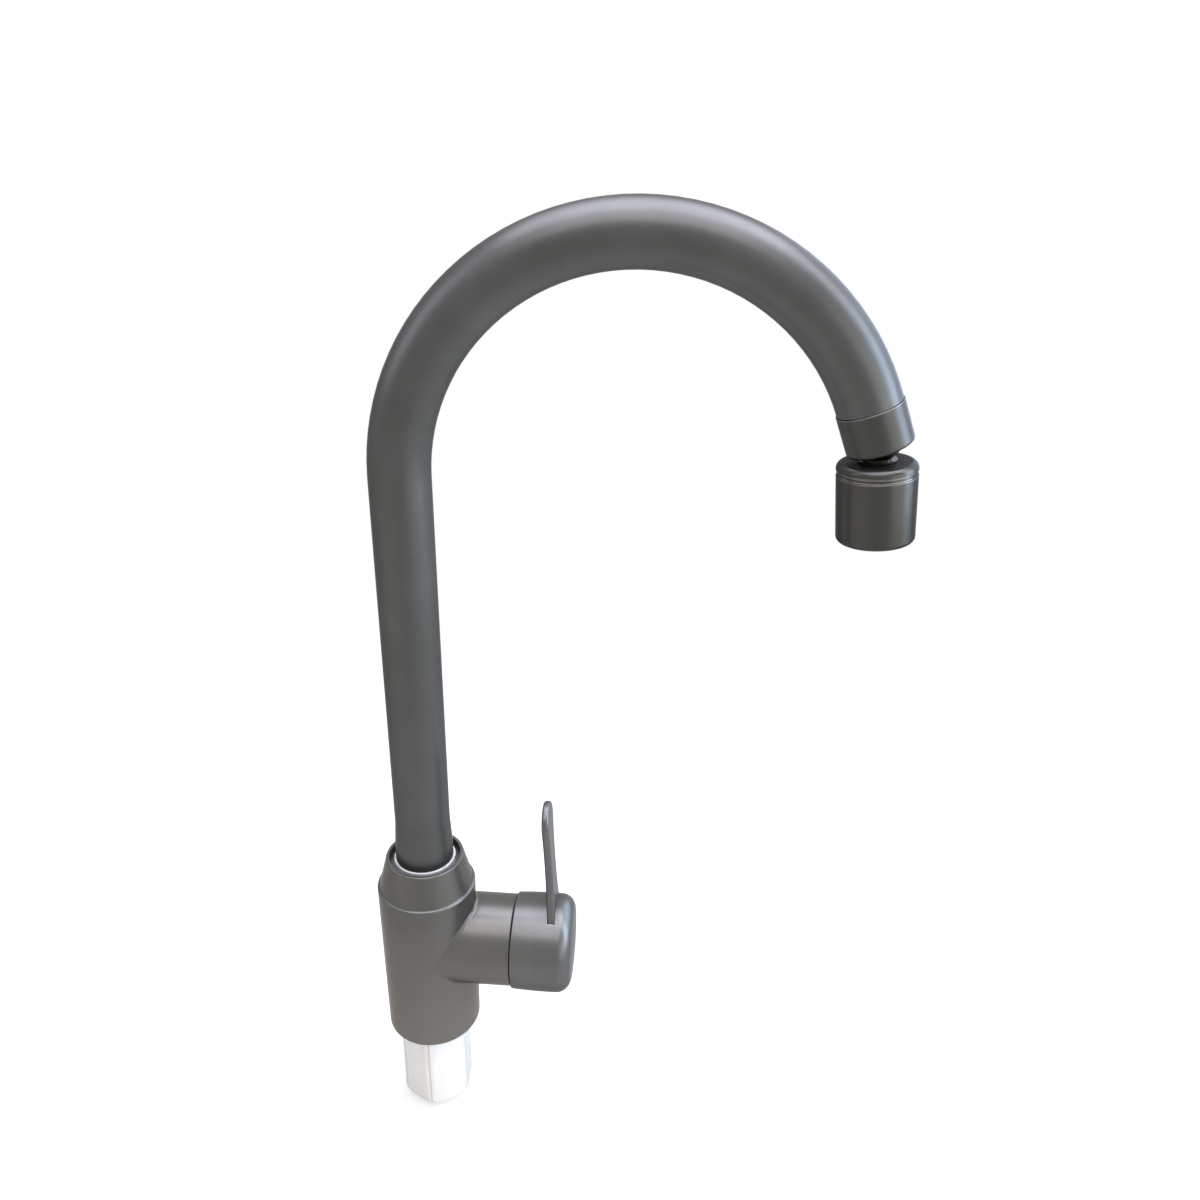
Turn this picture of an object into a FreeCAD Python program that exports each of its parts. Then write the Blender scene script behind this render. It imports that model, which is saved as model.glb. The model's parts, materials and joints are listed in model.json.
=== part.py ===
import FreeCAD, Part
import math
import os

# Deck-mounted single-lever kitchen tap: a turned body with a valve neck on its right side,
# a gooseneck spout that swivels in the collar, and an outlet head on a ball joint.
# Origin: centre of the body's base face, on the deck. +Z is up, +X runs along the valve and the spout.
# All sizes are in millimetres, and angles in degrees.

# Fits and clearances
running_play = 0.05        # radial play of a part that turns in another
thread_play = 0.05         # radial play between mating threads and brazed or pushed-in sleeves
face_gap = 0.05            # play between stacked faces of parts that don't move on each other
slide_gap = 0.3            # open seam between parts that turn past each other
corner = 0.6               # small broken edge on turned parts

# Gooseneck tube
tube_radius = 12.5
tube_wall = 1.2
riser_top = 283.0          # height above the deck where the bend starts
bend_radius = 92.4
bend_angle = 158.3
foot_swell = 0.8           # how much thicker the tube's foot is, above the guide ring
foot_height = 7.0
foot_taper = 13.0          # length over which the foot narrows to the tube
foot_blend = 50.0          # radius that softens both ends of the taper

# Collar at the top of the body, round the tube
bush_wall = 1.7
bush_lead = 0.65           # how far the guide ring's inner edge flares away from the tube
bush_length = 12.6
collar_groove = 2.4        # width of the recess round the guide ring
collar_groove_depth = 4.0
ring_sink = 0.6            # the ring's top lies this far under the rim
rim_wall = 1.3
shoulder_run = 4.1         # how much the cone under the rim widens
shoulder_rise = 16.1
shoulder_ledge = 1.0       # width of the small sloping ledge between the cone and the body
shoulder_ledge_drop = 0.5
shoulder_round = 0.8
body_draft = 0.5           # the body's wall is this much narrower at the base than at the ledge
base_round = 1.0

# Threaded shank, sleeve nut and deck seal, under the body
shank_radius = 10.475
shank_bore = 7.0
shank_depth = 12.0         # how far the shank is screwed into the body
shank_tip = 4.0            # free thread below the nut
shank_relief = 1.0         # width of the relief groove that ends the free thread, in the nut's mouth
shank_relief_depth = 0.6
shank_relief_drop = 0.3    # how far the groove reaches below the nut
inlet_washer_thick = 1.9
inlet_washer_bore = 5.5
nut_wall = 5.5
nut_length = 46.5
nut_corner_round = 5.0
nut_end_round = 2.4        # turned rounding of the nut's lower corners
nut_mouth = 1.2            # chamfer at the mouth of the nut's thread
gasket_thick = 1.5
gasket_inner = 11.6
deck_land = 3.6            # width of the ring of the base that rests on the deck

# Valve, on the side neck
valve_height = 50.6
valve_neck_radius = 21.4
valve_neck_reach = 42.0
crease_round = 1.8         # fillet where the neck leaves the body
valve_pocket_radius = 16.5
valve_pocket_depth = 12.0
valve_insert_length = 28.5
chamber_radius = 10.5
water_way = 4.5            # radius of the drilled water ways
seat_bore = 5.0
inlet_setback = 2.0        # from the seat bore's inner side to the middle of the rising inlet
outlet_setback = 0.5       # from the valve seat to the near side of the outlet
cage_wall = 1.7
cage_setback = 0.5         # the insert's open end stays this far off the seat
window_width = 10.5        # side windows that let the water out of the insert
window_setback = 1.5
disc_thick = 3.2
port_inner = 2.6           # the discs' ports lie between these radii
port_outer = 6.8
port_sweep = 80.0
seat_seal_thick = 2.9
valve_flange_flats = 24.0
valve_flange_thick = 4.0
valve_washer_thick = 1.0
valve_washer_rim = 1.5     # how far the washer reaches past the flange's flats
valve_neck_sleeve = 7.5
valve_sleeve_length = 6.0
spindle_radius = 4.5
spindle_end_radius = 4.0
spindle_end_length = 14.0
spindle_flat = 0.8
spindle_flat_start = 1.0
drive_plate = 2.9
drive_lug = 2.2
drive_lug_reach = 1.8
drive_lug_inner = 7.3      # the lugs and notches lie outside this radius
o_ring = 0.65              # radius of the small O-rings' section
clip_wall = 2.4
clip_thick = 0.9
clip_groove_depth = 0.6

# Spout socket, above the valve chamber
socket_floor_wall = 4.9
seal_length = 18.0
spigot_radius = 11.45
spigot_bore = 8.5
spigot_shoulder = 1.0
spigot_sleeve = 10.0
spout_o_ring = 0.78
slip_ring_thick = 1.0
slip_ring_gap = 0.25
retaining_groove = 3.0
retaining_groove_depth = 1.45
retaining_screw_radius = 2.5
retaining_tip_lead = 1.0
retaining_screw_sink = 1.4
screw_socket = 1.25        # radius of a circle in the screw's hexagon socket

# Handle
cap_radius = 22.9
cap_length = 28.2
cap_step = 1.0             # the cap's inner edge stands this far out from the neck
cap_edge_round = 0.5
cap_mouth = 2.0            # depth of the narrower mouth inside the skirt
cap_mouth_slope = 2.0
cap_wall = 4.3
cap_end_wall = 3.6
cap_end_round = 7.0
cap_dome = 0.7
hub_radius = 8.5
hub_setback = 3.6
handle_screw_radius = 2.0
plug_radius = 3.2
plug_thick = 2.0
plug_sink = 0.35
lever_place = 18.2         # from the cap's inner end to the lever's middle, at the cap's top
lever_height = 57.6        # the lever's tip above the cap's top
lever_root_half = 11.4
lever_tip_half = 9.3
lever_flare = 11.0         # how far the hollow sides lean out, in degrees, where they meet the round tip
lever_root_thick = 3.75
lever_tip_thick = 3.3
lever_edge = 1.25
lever_lean = 3.0
lever_foot = 5.2           # how deep the lever's foot sits under the cap's top
tang_half = 5.5
tang_reach = 5.6
lever_pin_radius = 1.2
lever_pin_length = 10.6

# Ferrule and ball joint at the spout's end
ferrule_proud = 0.4
ferrule_length = 16.6
ferrule_round = 1.5
ferrule_wall = 2.15
end_bush_bore = 7.0
end_bush_sleeve = 12.0
end_bush_thread = 4.3
ball_radius = 9.4
ball_bore = 4.0
ball_flat = 1.9            # how much of the ball's top is turned off
ball_depth = 12.5          # ball centre below the tube's end, along the ferrule
ball_neck_radius = 6.6
neck_round = 0.6
waist_radius = 5.6         # necked-down part between the ball's neck and the head
waist_length = 1.7
stem_flange_radius = 7.4   # thin flange that rests on the head
stem_flange_thick = 0.7
ball_seat_wall = 3.8
ball_seat_height = 3.8
end_ring_section = 0.7

# Outlet head, hanging from the ball
head_lean = 5.7            # the head's axis from the vertical, outward
head_drop = 9.0            # from the ball's centre to the head's top face
head_radius = 15.3
head_taper = 0.25
head_height = 31.5
head_top_round = 2.5
head_bottom_round = 1.8
head_cap_height = 3.3
head_groove_height = 1.7
head_groove_depth = 0.5
head_cap_wall = 3.0
head_spigot_length = 5.4
head_spigot_wall = 1.9
head_wall = 1.9
stem_radius = 6.0
stem_reach = 8.0
stem_nut_wall = 3.0
stem_nut_height = 3.0
stem_washer_thick = 0.9
aerator_wall = 1.3
aerator_washer_thick = 1.3
air_slots = 6
air_slot_width = 2.0
air_slot_height = 3.0
aerator_sink = 1.6         # the grille lies this far inside the shell's lower edge
aerator_height = 14.0
aerator_lip = 1.6
grille_thick = 2.4
grille_hole = 0.85
grille_pitch = 2.3
screen_thick = 0.5
screen_count = 3
screen_gap = 0.9
spacer_wall = 1.2
mixer_thick = 2.0
mixer_holes = 10
mixer_hole = 0.9
mixer_circle = 7.3         # radius of the circle on which the jets lie

up = FreeCAD.Vector(0, 0, 1)
across = FreeCAD.Vector(0, 1, 0)
outward = FreeCAD.Vector(1, 0, 0)
origin = FreeCAD.Vector(0, 0, 0)


def profile(points):
    """A closed flat outline in the XZ plane. A point is (r, z) or (r, z, corner radius)."""
    count = len(points)
    spots = [FreeCAD.Vector(p[0], 0, p[1]) for p in points]
    edges = []
    starts = []
    ends = []
    for i in range(count):
        here = spots[i]
        rounding = points[i][2] if len(points[i]) > 2 else 0.0
        to_last = (spots[i - 1] - here).normalize()
        to_next = (spots[(i + 1) % count] - here).normalize()
        if rounding <= 0:
            starts.append(here)
            ends.append(here)
            edges.append(None)
            continue
        half = to_last.getAngle(to_next) / 2
        cut = rounding / math.tan(half)
        begin = here + to_last * cut
        finish = here + to_next * cut
        centre = here + (to_last + to_next).normalize() * (rounding / math.sin(half))
        middle = centre + (here - centre).normalize() * rounding
        starts.append(begin)
        ends.append(finish)
        edges.append(Part.Arc(begin, middle, finish).toShape())
    outline = []
    for i in range(count):
        if edges[i] is not None:
            outline.append(edges[i])
        following = starts[(i + 1) % count]
        if ends[i].distanceToPoint(following) > 1e-6:
            outline.append(Part.makeLine(ends[i], following))
    return Part.Face(Part.Wire(outline))


def turned(points):
    """A solid of revolution about Z from an outline of (r, z) points."""
    return profile(points).revolve(origin, up, 360)


def rod(radius, low, high):
    """A plain cylinder about Z between two heights."""
    return Part.makeCylinder(radius, high - low, FreeCAD.Vector(0, 0, low))


def ring(outer, inner, low, high):
    """A plain tube about Z between two heights."""
    return rod(outer, low, high).cut(rod(inner, low - 1, high + 1))


def o_ring_at(bore, height, section):
    """An O-ring about Z whose outside just meets a bore."""
    return Part.makeTorus(bore - section, section, FreeCAD.Vector(0, 0, height))


def polygon_bar(sides, flats, low, high, rounding=0.0):
    """A prism about Z with a regular section, flats facing +X and -X, and rounded long edges."""
    reach = flats / 2 / math.cos(math.pi / sides)
    spots = []
    for k in range(sides + 1):
        angle = math.pi / sides + 2 * math.pi * k / sides
        spots.append(FreeCAD.Vector(reach * math.cos(angle), reach * math.sin(angle), low))
    bar = Part.Face(Part.makePolygon(spots)).extrude(FreeCAD.Vector(0, 0, high - low))
    if rounding > 0:
        long_edges = [e for e in bar.Edges if abs(e.tangentAt(e.FirstParameter).z) > 0.99]
        bar = bar.makeFillet(rounding, long_edges)
    return bar


def polar(shape, count, first=0.0):
    """Copies of a shape spread evenly about Z."""
    copies = []
    for k in range(count):
        copy = shape.copy()
        copy.rotate(origin, up, first + 360.0 * k / count)
        copies.append(copy)
    return copies


def to_axis(shape, place, lean):
    """Moves a shape built about +Z so that its +Z points down and outward, lean from straight down."""
    moved = shape.copy()
    moved.Placement = FreeCAD.Placement(place, FreeCAD.Rotation(across, 180 - lean)).multiply(moved.Placement)
    return moved


def to_valve(shape):
    """Moves a shape built about +Z onto the valve's axis, its +Z along +X."""
    moved = shape.copy()
    lay = FreeCAD.Placement(FreeCAD.Vector(0, 0, valve_height), FreeCAD.Rotation(across, 90))
    moved.Placement = lay.multiply(moved.Placement)
    return moved


def clean(shape):
    """One tidy solid from a boolean result."""
    merged = shape.removeSplitter()
    if len(merged.Solids) == 1:
        return merged.Solids[0]
    return merged


# Places worked out from the sizes above

tube_bore = tube_radius - tube_wall
bush_outer = tube_radius + bush_wall
recess_radius = bush_outer + collar_groove
rim_radius = recess_radius + rim_wall
cone_radius = rim_radius + shoulder_run
ledge_radius = cone_radius + shoulder_ledge
body_radius = ledge_radius - body_draft

nut_flats = 2 * (shank_radius + nut_wall)
nut_reach = nut_flats / 2 / math.cos(math.pi / 6) - nut_corner_round * (1 / math.cos(math.pi / 6) - 1)
gasket_outer = body_radius - base_round - deck_land
shank_low = -nut_length - shank_tip
shank_socket = shank_depth + inlet_washer_thick + face_gap

pocket_floor = valve_neck_reach - valve_pocket_depth
seat_place = pocket_floor - valve_insert_length
inlet_way_place = seat_place - seat_bore - inlet_setback
outlet_way_place = seat_place + water_way + outlet_setback

socket_floor = valve_height + chamber_radius + socket_floor_wall
seal_bore = spigot_radius + running_play
slip_seat = socket_floor + seal_length
tube_low = slip_seat + slip_ring_thick + face_gap + spigot_shoulder
bush_low = tube_low + slip_ring_gap
ring_top = bush_low + bush_length
rim_height = ring_top + ring_sink
shoulder_height = rim_height - shoulder_rise
retaining_height = slip_seat - retaining_groove

cap_start = valve_neck_reach + slide_gap
cap_end = cap_start + cap_length
cap_top = valve_height + cap_radius
lever_x = cap_start + lever_place

bend_centre = FreeCAD.Vector(bend_radius, 0, riser_top)
end_lean = 180 - bend_angle
end_way = FreeCAD.Vector(math.sin(math.radians(end_lean)), 0, -math.cos(math.radians(end_lean)))
end_out = FreeCAD.Vector(math.cos(math.radians(end_lean)), 0, math.sin(math.radians(end_lean)))
tube_end = bend_centre + end_out * bend_radius
ball_centre = tube_end + end_way * ball_depth
ferrule_outer = tube_radius + ferrule_proud
ferrule_bore = ferrule_outer - ferrule_wall
ball_seat_radius = ball_radius + running_play

head_low = head_drop + head_height
groove_top = head_drop + head_cap_height
shell_top = groove_top + head_groove_height
spigot_outer = head_radius - head_wall
shell_bore = spigot_outer + thread_play


def body():
    """The cast body: shoulder and rim, side neck, and the water ways drilled in it."""
    outside = turned([
        (0, 0), (body_radius, 0, base_round), (ledge_radius, shoulder_height, shoulder_round),
        (cone_radius, shoulder_height + shoulder_ledge_drop, shoulder_round),
        (rim_radius, rim_height, corner), (0, rim_height)])
    neck = to_valve(turned([
        (0, 0), (valve_neck_radius, 0), (valve_neck_radius, valve_neck_reach, corner),
        (0, valve_neck_reach)]))
    casting = outside.fuse(neck)
    crease = [e for e in casting.Edges
              if e.BoundBox.XMax < ledge_radius + corner and isinstance(e.Curve, Part.BSplineCurve)]
    casting = casting.makeFillet(crease_round, crease)
    for tool in body_cavities():
        casting = casting.cut(tool)
    return clean(casting)


def body_cavities():
    """Every hollow that is cut out of the casting."""
    height = rim_height + 1
    spout_socket = [
        rod(seal_bore, socket_floor, height),
        rod(bush_outer + thread_play, slip_seat, height),
        rod(recess_radius, rim_height - collar_groove_depth, height)]
    under = [
        rod(shank_radius + thread_play, -1, shank_socket),
        ring(gasket_outer + face_gap, gasket_inner - face_gap, -1, gasket_thick)]
    inlet = rod(water_way, shank_socket - 1, valve_height)
    inlet.translate(FreeCAD.Vector(inlet_way_place, 0, 0))
    outlet = rod(water_way, valve_height, socket_floor + 1)
    outlet.translate(FreeCAD.Vector(outlet_way_place, 0, 0))
    side = [
        to_valve(rod(seat_bore, inlet_way_place, seat_place + 1)),
        to_valve(rod(chamber_radius, seat_place, pocket_floor + 1)),
        to_valve(rod(valve_pocket_radius, pocket_floor, valve_neck_reach + 1))]
    screw_hole = Part.makeCylinder(
        retaining_screw_radius + thread_play, body_radius, FreeCAD.Vector(0, 0, retaining_height), across)
    return spout_socket + under + [inlet, outlet] + side + [screw_hole]


def shank():
    """The threaded pipe that carries the tap in the deck's hole and brings the water in."""
    relief_low = -nut_length - shank_relief_drop
    relief_radius = shank_radius - shank_relief_depth
    return turned([
        (shank_bore, shank_low), (shank_radius - corner, shank_low), (shank_radius, shank_low + corner),
        (shank_radius, relief_low), (relief_radius, relief_low),
        (relief_radius, relief_low + shank_relief), (shank_radius, relief_low + shank_relief),
        (shank_radius, shank_depth - corner), (shank_radius - corner, shank_depth),
        (shank_bore, shank_depth)])


def sleeve_nut():
    """The long six-sided nut on the shank, with a chamfered mouth at each end."""
    bar = polygon_bar(6, nut_flats, -nut_length, -face_gap, nut_corner_round)
    bar = bar.common(turned([
        (0, -nut_length), (nut_reach, -nut_length, nut_end_round), (nut_reach, 0), (0, 0)]))
    bore = shank_radius + thread_play
    bar = bar.cut(rod(bore, -nut_length - 1, 1))
    mouth = Part.makeCone(bore + nut_mouth, bore, nut_mouth, FreeCAD.Vector(0, 0, -nut_length))
    return clean(bar.cut(mouth))


def retaining_screw():
    """Grub screw at the back of the body. Its tip runs in the spigot's groove and keeps the spout in."""
    tip_reach = spigot_radius - retaining_groove_depth + slide_gap
    tip_end = seal_bore + retaining_tip_lead
    tip_radius = retaining_groove / 2 - slide_gap
    head_end = body_radius - retaining_screw_sink
    shaft = turned([
        (0, tip_reach), (tip_radius, tip_reach, slide_gap), (tip_radius, tip_end),
        (retaining_screw_radius - corner, tip_end), (retaining_screw_radius, tip_end + corner),
        (retaining_screw_radius, head_end), (0, head_end)])
    socket = polygon_bar(6, 2 * screw_socket, head_end - 2 * screw_socket, head_end + 1)
    screw = shaft.cut(socket)
    screw.Placement = FreeCAD.Placement(
        FreeCAD.Vector(0, 0, retaining_height), FreeCAD.Rotation(FreeCAD.Vector(1, 0, 0), -90))
    return screw


def collar_bush():
    """Guide ring round the tube. Its rounded upper edge shows in the recess."""
    bore = tube_radius + running_play
    return turned([
        (bore, bush_low), (bush_outer, bush_low), (bush_outer, ring_top, bush_lead / 2),
        (bore + bush_lead, ring_top, bush_lead / 4), (bore, ring_top - 2 * bush_lead)])


valve_cage_start = seat_place + cage_setback
fixed_disc_start = seat_place + seat_seal_thick + face_gap
moving_disc_start = fixed_disc_start + disc_thick + face_gap
drive_start = moving_disc_start + disc_thick + face_gap
cage_bore = chamber_radius - thread_play - cage_wall
disc_radius = cage_bore - face_gap
thread_start = drive_start + drive_plate + face_gap
flange_start = pocket_floor + valve_washer_thick
sleeve_start = flange_start + valve_flange_thick
sleeve_end = sleeve_start + valve_sleeve_length
hub_start = cap_start + hub_setback


def valve_body():
    """Screw-in valve insert: cage with two side windows, thread, hexagon flange and spindle sleeve."""
    outside = rod(chamber_radius - thread_play, valve_cage_start, flange_start)
    outside = outside.fuse(polygon_bar(6, valve_flange_flats, flange_start, sleeve_start))
    outside = outside.fuse(turned([
        (0, flange_start), (valve_neck_sleeve, flange_start),
        (valve_neck_sleeve, sleeve_end, corner), (0, sleeve_end)]))
    outside = outside.cut(rod(cage_bore, valve_cage_start - 1, thread_start))
    outside = outside.cut(rod(spindle_radius + running_play, seat_place, sleeve_end + 1))
    window_start = fixed_disc_start + disc_thick
    window = Part.makeBox(
        4 * chamber_radius, window_width, thread_start - window_setback - window_start,
        FreeCAD.Vector(-2 * chamber_radius, -window_width / 2, window_start))
    return clean(outside.cut(window))


def ported_disc(start, turn):
    """Ceramic disc with two opposite ports, each a quarter of the disc."""
    disc = rod(disc_radius, start, start + disc_thick)
    end = start + disc_thick
    sector = profile([
        (port_inner, start - 1), (port_outer, start - 1), (port_outer, end + 1), (port_inner, end + 1)])
    port = sector.revolve(origin, up, port_sweep)
    for cutter in polar(port, 2, turn - port_sweep / 2):
        disc = disc.cut(cutter)
    return disc


def drive_slots(width):
    """Two bars at the moving disc's rim: the spindle's lugs, or with play the disc's notches."""
    play = width - drive_lug
    start = drive_start - drive_lug_reach - play
    height = drive_lug_reach + corner
    bar = Part.makeBox(4 * disc_radius, width, height, FreeCAD.Vector(-2 * disc_radius, -width / 2, start))
    return bar.cut(rod(drive_lug_inner - play, start - 1, start + height + 1))


def moving_disc():
    """The upper disc, turned by the spindle's lugs. At rest its ports lie across the lower disc's."""
    return clean(ported_disc(moving_disc_start, 90).cut(drive_slots(drive_lug + 2 * running_play)))


def spindle():
    """Valve spindle: drive plate with two lugs, shaft with O-ring and clip grooves, and a flatted end."""
    shaft_end = hub_start + spindle_end_length
    plate_end = drive_start + drive_plate
    solid = rod(disc_radius, drive_start, plate_end)
    solid = solid.fuse(drive_slots(drive_lug).common(rod(disc_radius, moving_disc_start, plate_end)))
    solid = solid.fuse(rod(spindle_radius, plate_end, hub_start - slide_gap))
    solid = solid.fuse(turned([
        (0, plate_end), (spindle_end_radius, plate_end), (spindle_end_radius, shaft_end, corner),
        (0, shaft_end)]))
    for height in spindle_ring_places():
        solid = solid.cut(ring(spindle_radius + 1, spindle_radius - 2 * o_ring + running_play / 2,
                               height - 1.3 * o_ring, height + 1.3 * o_ring))
    solid = solid.cut(ring(spindle_radius + 1, clip_bore(), sleeve_end + slide_gap,
                           sleeve_end + slide_gap + clip_thick + face_gap))
    across_end = 2 * spindle_end_radius
    flat_place = FreeCAD.Vector(
        spindle_end_radius - spindle_flat, -spindle_end_radius, hub_start + spindle_flat_start)
    flat = Part.makeBox(across_end, across_end, spindle_end_length, flat_place)
    return clean(solid.cut(flat))


def spindle_ring_places():
    """Heights of the spindle's two O-rings along its axis."""
    middle = (thread_start + flange_start) / 2
    return [middle - 4 * o_ring, middle + 4 * o_ring]


def clip_bore():
    """Radius at the bottom of the retaining clip's groove."""
    return spindle_radius - clip_groove_depth


def spindle_clip():
    """Open spring clip that keeps the spindle in the insert."""
    start = sleeve_end + slide_gap + face_gap / 2
    clip = ring(clip_bore() + clip_wall, clip_bore() + face_gap / 2, start, start + clip_thick)
    gap = Part.makeBox(
        2 * spindle_radius, spindle_radius, clip_thick + 2, FreeCAD.Vector(0, -spindle_radius / 2, start - 1))
    return clip.cut(gap)


def lever_hollow():
    """Centre and radius of the arc that runs from the lever's foot, past its waist, into its round tip."""
    flare = math.radians(lever_flare)
    way = FreeCAD.Vector(0, math.cos(flare), -math.sin(flare))
    tip_middle = FreeCAD.Vector(0, 0, lever_height - lever_tip_half)
    apart = tip_middle - FreeCAD.Vector(0, lever_root_half, -lever_foot)
    run = apart.dot(way)
    gap = apart.dot(apart) + 2 * lever_tip_half * run + lever_tip_half ** 2
    radius = -gap / (2 * (run + lever_tip_half))
    return tip_middle + way * (lever_tip_half + radius), radius


def lever_side(height, play):
    """Point on the lever's hollow side at a height above the cap's top."""
    centre, radius = lever_hollow()
    half = centre.y - math.sqrt((radius - play) ** 2 - (height - centre.z) ** 2)
    return FreeCAD.Vector(0, half, height)


def other_side(point):
    """The point's mirror image across the lever."""
    return FreeCAD.Vector(point.x, -point.y, point.z)


def lever_blank(play):
    """The lever's leaning blade and tang, grown by a play where it is used to cut its slot."""
    flare = math.radians(lever_flare)
    join_height = lever_height - lever_tip_half - (lever_tip_half + play) * math.sin(flare)
    foot = lever_side(-lever_foot - play, play)
    waist = lever_side((join_height - lever_foot) / 2, play)
    side = lever_side(join_height, play)
    foot_other = other_side(foot)
    tang_low = -lever_foot - tang_reach - play
    tang_side = tang_half + play
    tang = [FreeCAD.Vector(0, y, z) for y, z in (
        (-tang_side, foot.z), (-tang_side, tang_low), (tang_side, tang_low), (tang_side, foot.z))]
    corners = [foot_other] + tang + [foot]
    outline = [Part.makeLine(corners[i], corners[i + 1]) for i in range(len(corners) - 1)]
    outline.append(Part.Arc(foot, waist, side).toShape())
    outline.append(Part.Arc(side, FreeCAD.Vector(0, 0, lever_height + play), other_side(side)).toShape())
    outline.append(Part.Arc(other_side(side), other_side(waist), foot_other).toShape())
    width = FreeCAD.Vector(2 * lever_root_thick, 0, 0)
    plate = Part.Face(Part.Wire(outline))
    plate.translate(width * -0.5)
    plate = plate.extrude(width)
    low_half = lever_root_thick / 2 + play
    high_half = lever_tip_thick / 2 + play
    deep = 2 * lever_root_half
    wedge_spots = [
        (-low_half, tang_low - 1), (low_half, tang_low - 1), (low_half, 0), (high_half, lever_height + 1),
        (-high_half, lever_height + 1), (-low_half, 0), (-low_half, tang_low - 1)]
    wedge = Part.Face(Part.makePolygon([FreeCAD.Vector(x, -deep, z) for x, z in wedge_spots]))
    return plate.common(wedge.extrude(FreeCAD.Vector(0, 2 * deep, 0)))


def lever_in_place(shape):
    """Leans the lever and stands it on the cap."""
    shape.rotate(origin, across, -lever_lean)
    shape.translate(FreeCAD.Vector(lever_x, 0, cap_top))
    return shape


def lever_pin_hole(radius, length):
    """The cross pin under the cap's wall that holds the lever's tang."""
    inside = cap_radius - cap_wall
    height = valve_height + inside - lever_pin_radius - 2 * face_gap
    middle = lever_x + math.tan(math.radians(lever_lean)) * (cap_top - height)
    start = FreeCAD.Vector(middle - length / 2, 0, height)
    return Part.makeCylinder(radius, length, start, outward)


def lever():
    """Flat lever with softened edges, standing on the cap."""
    blade = lever_blank(0.0)
    soft = []
    for edge in blade.Edges:
        box = edge.BoundBox
        on_face = box.XLength < lever_root_thick / 2
        above = box.ZMax > lever_edge and box.ZMin > -lever_foot - tang_reach / 2
        sloping = box.ZLength > lever_edge
        if on_face and above and sloping:
            soft.append(edge)
    blade = blade.makeFillet(lever_edge, soft)
    blade = lever_in_place(blade)
    return clean(blade.cut(lever_pin_hole(lever_pin_radius, 4 * lever_root_thick)))


def handle_cap():
    """The turning cap: barrelled wall, domed end, hub for the spindle, and the lever's slot."""
    skirt_inside = cap_radius - cap_wall
    mouth_inside = valve_neck_radius - cap_wall / 2
    start_radius = valve_neck_radius + cap_step
    length_to_round = cap_end - cap_end_round
    swell = Part.Arc(
        FreeCAD.Vector(start_radius, 0, cap_start),
        FreeCAD.Vector(cap_radius - (cap_radius - start_radius) / 4, 0, cap_start + cap_length / 4),
        FreeCAD.Vector(cap_radius, 0, length_to_round)).toShape()
    slant = math.radians(45)
    round_middle = FreeCAD.Vector(
        cap_radius - cap_end_round * (1 - math.sin(slant)), 0,
        length_to_round + cap_end_round * math.cos(slant))
    face_edge = FreeCAD.Vector(cap_radius - cap_end_round, 0, cap_end)
    top = FreeCAD.Vector(0, 0, cap_end + cap_dome)
    dome_radius = (face_edge.x ** 2 + cap_dome ** 2) / (2 * cap_dome)
    half_turn = math.asin(face_edge.x / dome_radius) / 2
    bulge = top + FreeCAD.Vector(math.sin(half_turn), 0, math.cos(half_turn) - 1) * dome_radius
    edges = [
        swell,
        Part.Arc(FreeCAD.Vector(cap_radius, 0, length_to_round), round_middle, face_edge).toShape(),
        Part.Arc(face_edge, bulge, top).toShape(),
        Part.makeLine(top, FreeCAD.Vector(0, 0, cap_start)),
        Part.makeLine(FreeCAD.Vector(0, 0, cap_start), FreeCAD.Vector(start_radius, 0, cap_start))]
    solid = Part.Face(Part.Wire(edges)).revolve(origin, up, 360)
    inner_edge = [e for e in solid.Edges if e.BoundBox.ZMax < cap_start + corner and e.Length > start_radius]
    solid = solid.makeFillet(cap_edge_round, inner_edge)
    hollow_end = cap_end - cap_end_wall
    hollow = turned([
        (0, cap_start - 1), (mouth_inside, cap_start - 1), (mouth_inside, cap_start + cap_mouth),
        (skirt_inside, cap_start + cap_mouth + cap_mouth_slope), (skirt_inside, hollow_end, 2 * corner),
        (0, hollow_end)])
    hub = rod(hub_radius, hub_start, hollow_end + 1)
    solid = solid.cut(hollow).fuse(hub)
    socket_end = hub_start + spindle_end_length + corner
    solid = solid.cut(rod(spindle_end_radius + thread_play, hub_start - 1, socket_end))
    reach = Part.makeCylinder(
        handle_screw_radius + thread_play, cap_radius + 1, FreeCAD.Vector(0, 0, handle_screw_place()),
        outward)
    seat = Part.makeCylinder(
        plug_radius + thread_play, cap_radius,
        FreeCAD.Vector(plug_inner() - face_gap, 0, handle_screw_place()), outward)
    solid = to_valve(solid.cut(reach).cut(seat))
    return clean(solid.cut(lever_in_place(lever_blank(face_gap))))


def handle_screw_place():
    """Distance along the valve's axis to the handle's grub screw."""
    return hub_start + spindle_end_length / 2


def plug_inner():
    """Radius of the plug's inner face: it ends a little under the cap's skin."""
    return cap_radius - plug_thick - plug_sink


def handle_screw():
    """Grub screw through the hub, on the spindle's flat, reached from under the cap."""
    start = spindle_end_radius - spindle_flat + face_gap
    end = hub_radius - corner
    screw = turned([
        (0, start), (handle_screw_radius - corner, start), (handle_screw_radius, start + corner),
        (handle_screw_radius, end), (0, end)])
    screw = screw.cut(polygon_bar(6, handle_screw_radius, end - handle_screw_radius, end + 1))
    screw.Placement = FreeCAD.Placement(
        FreeCAD.Vector(0, 0, handle_screw_place()), FreeCAD.Rotation(across, 90))
    return to_valve(screw)


def handle_plug():
    """Small domed plug that closes the screw's hole in the cap."""
    start = plug_inner()
    plug = turned([
        (0, start), (plug_radius, start), (plug_radius, start + plug_thick, corner), (0, start + plug_thick)])
    plug.Placement = FreeCAD.Placement(
        FreeCAD.Vector(0, 0, handle_screw_place()), FreeCAD.Rotation(across, 90))
    return to_valve(plug)


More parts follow.
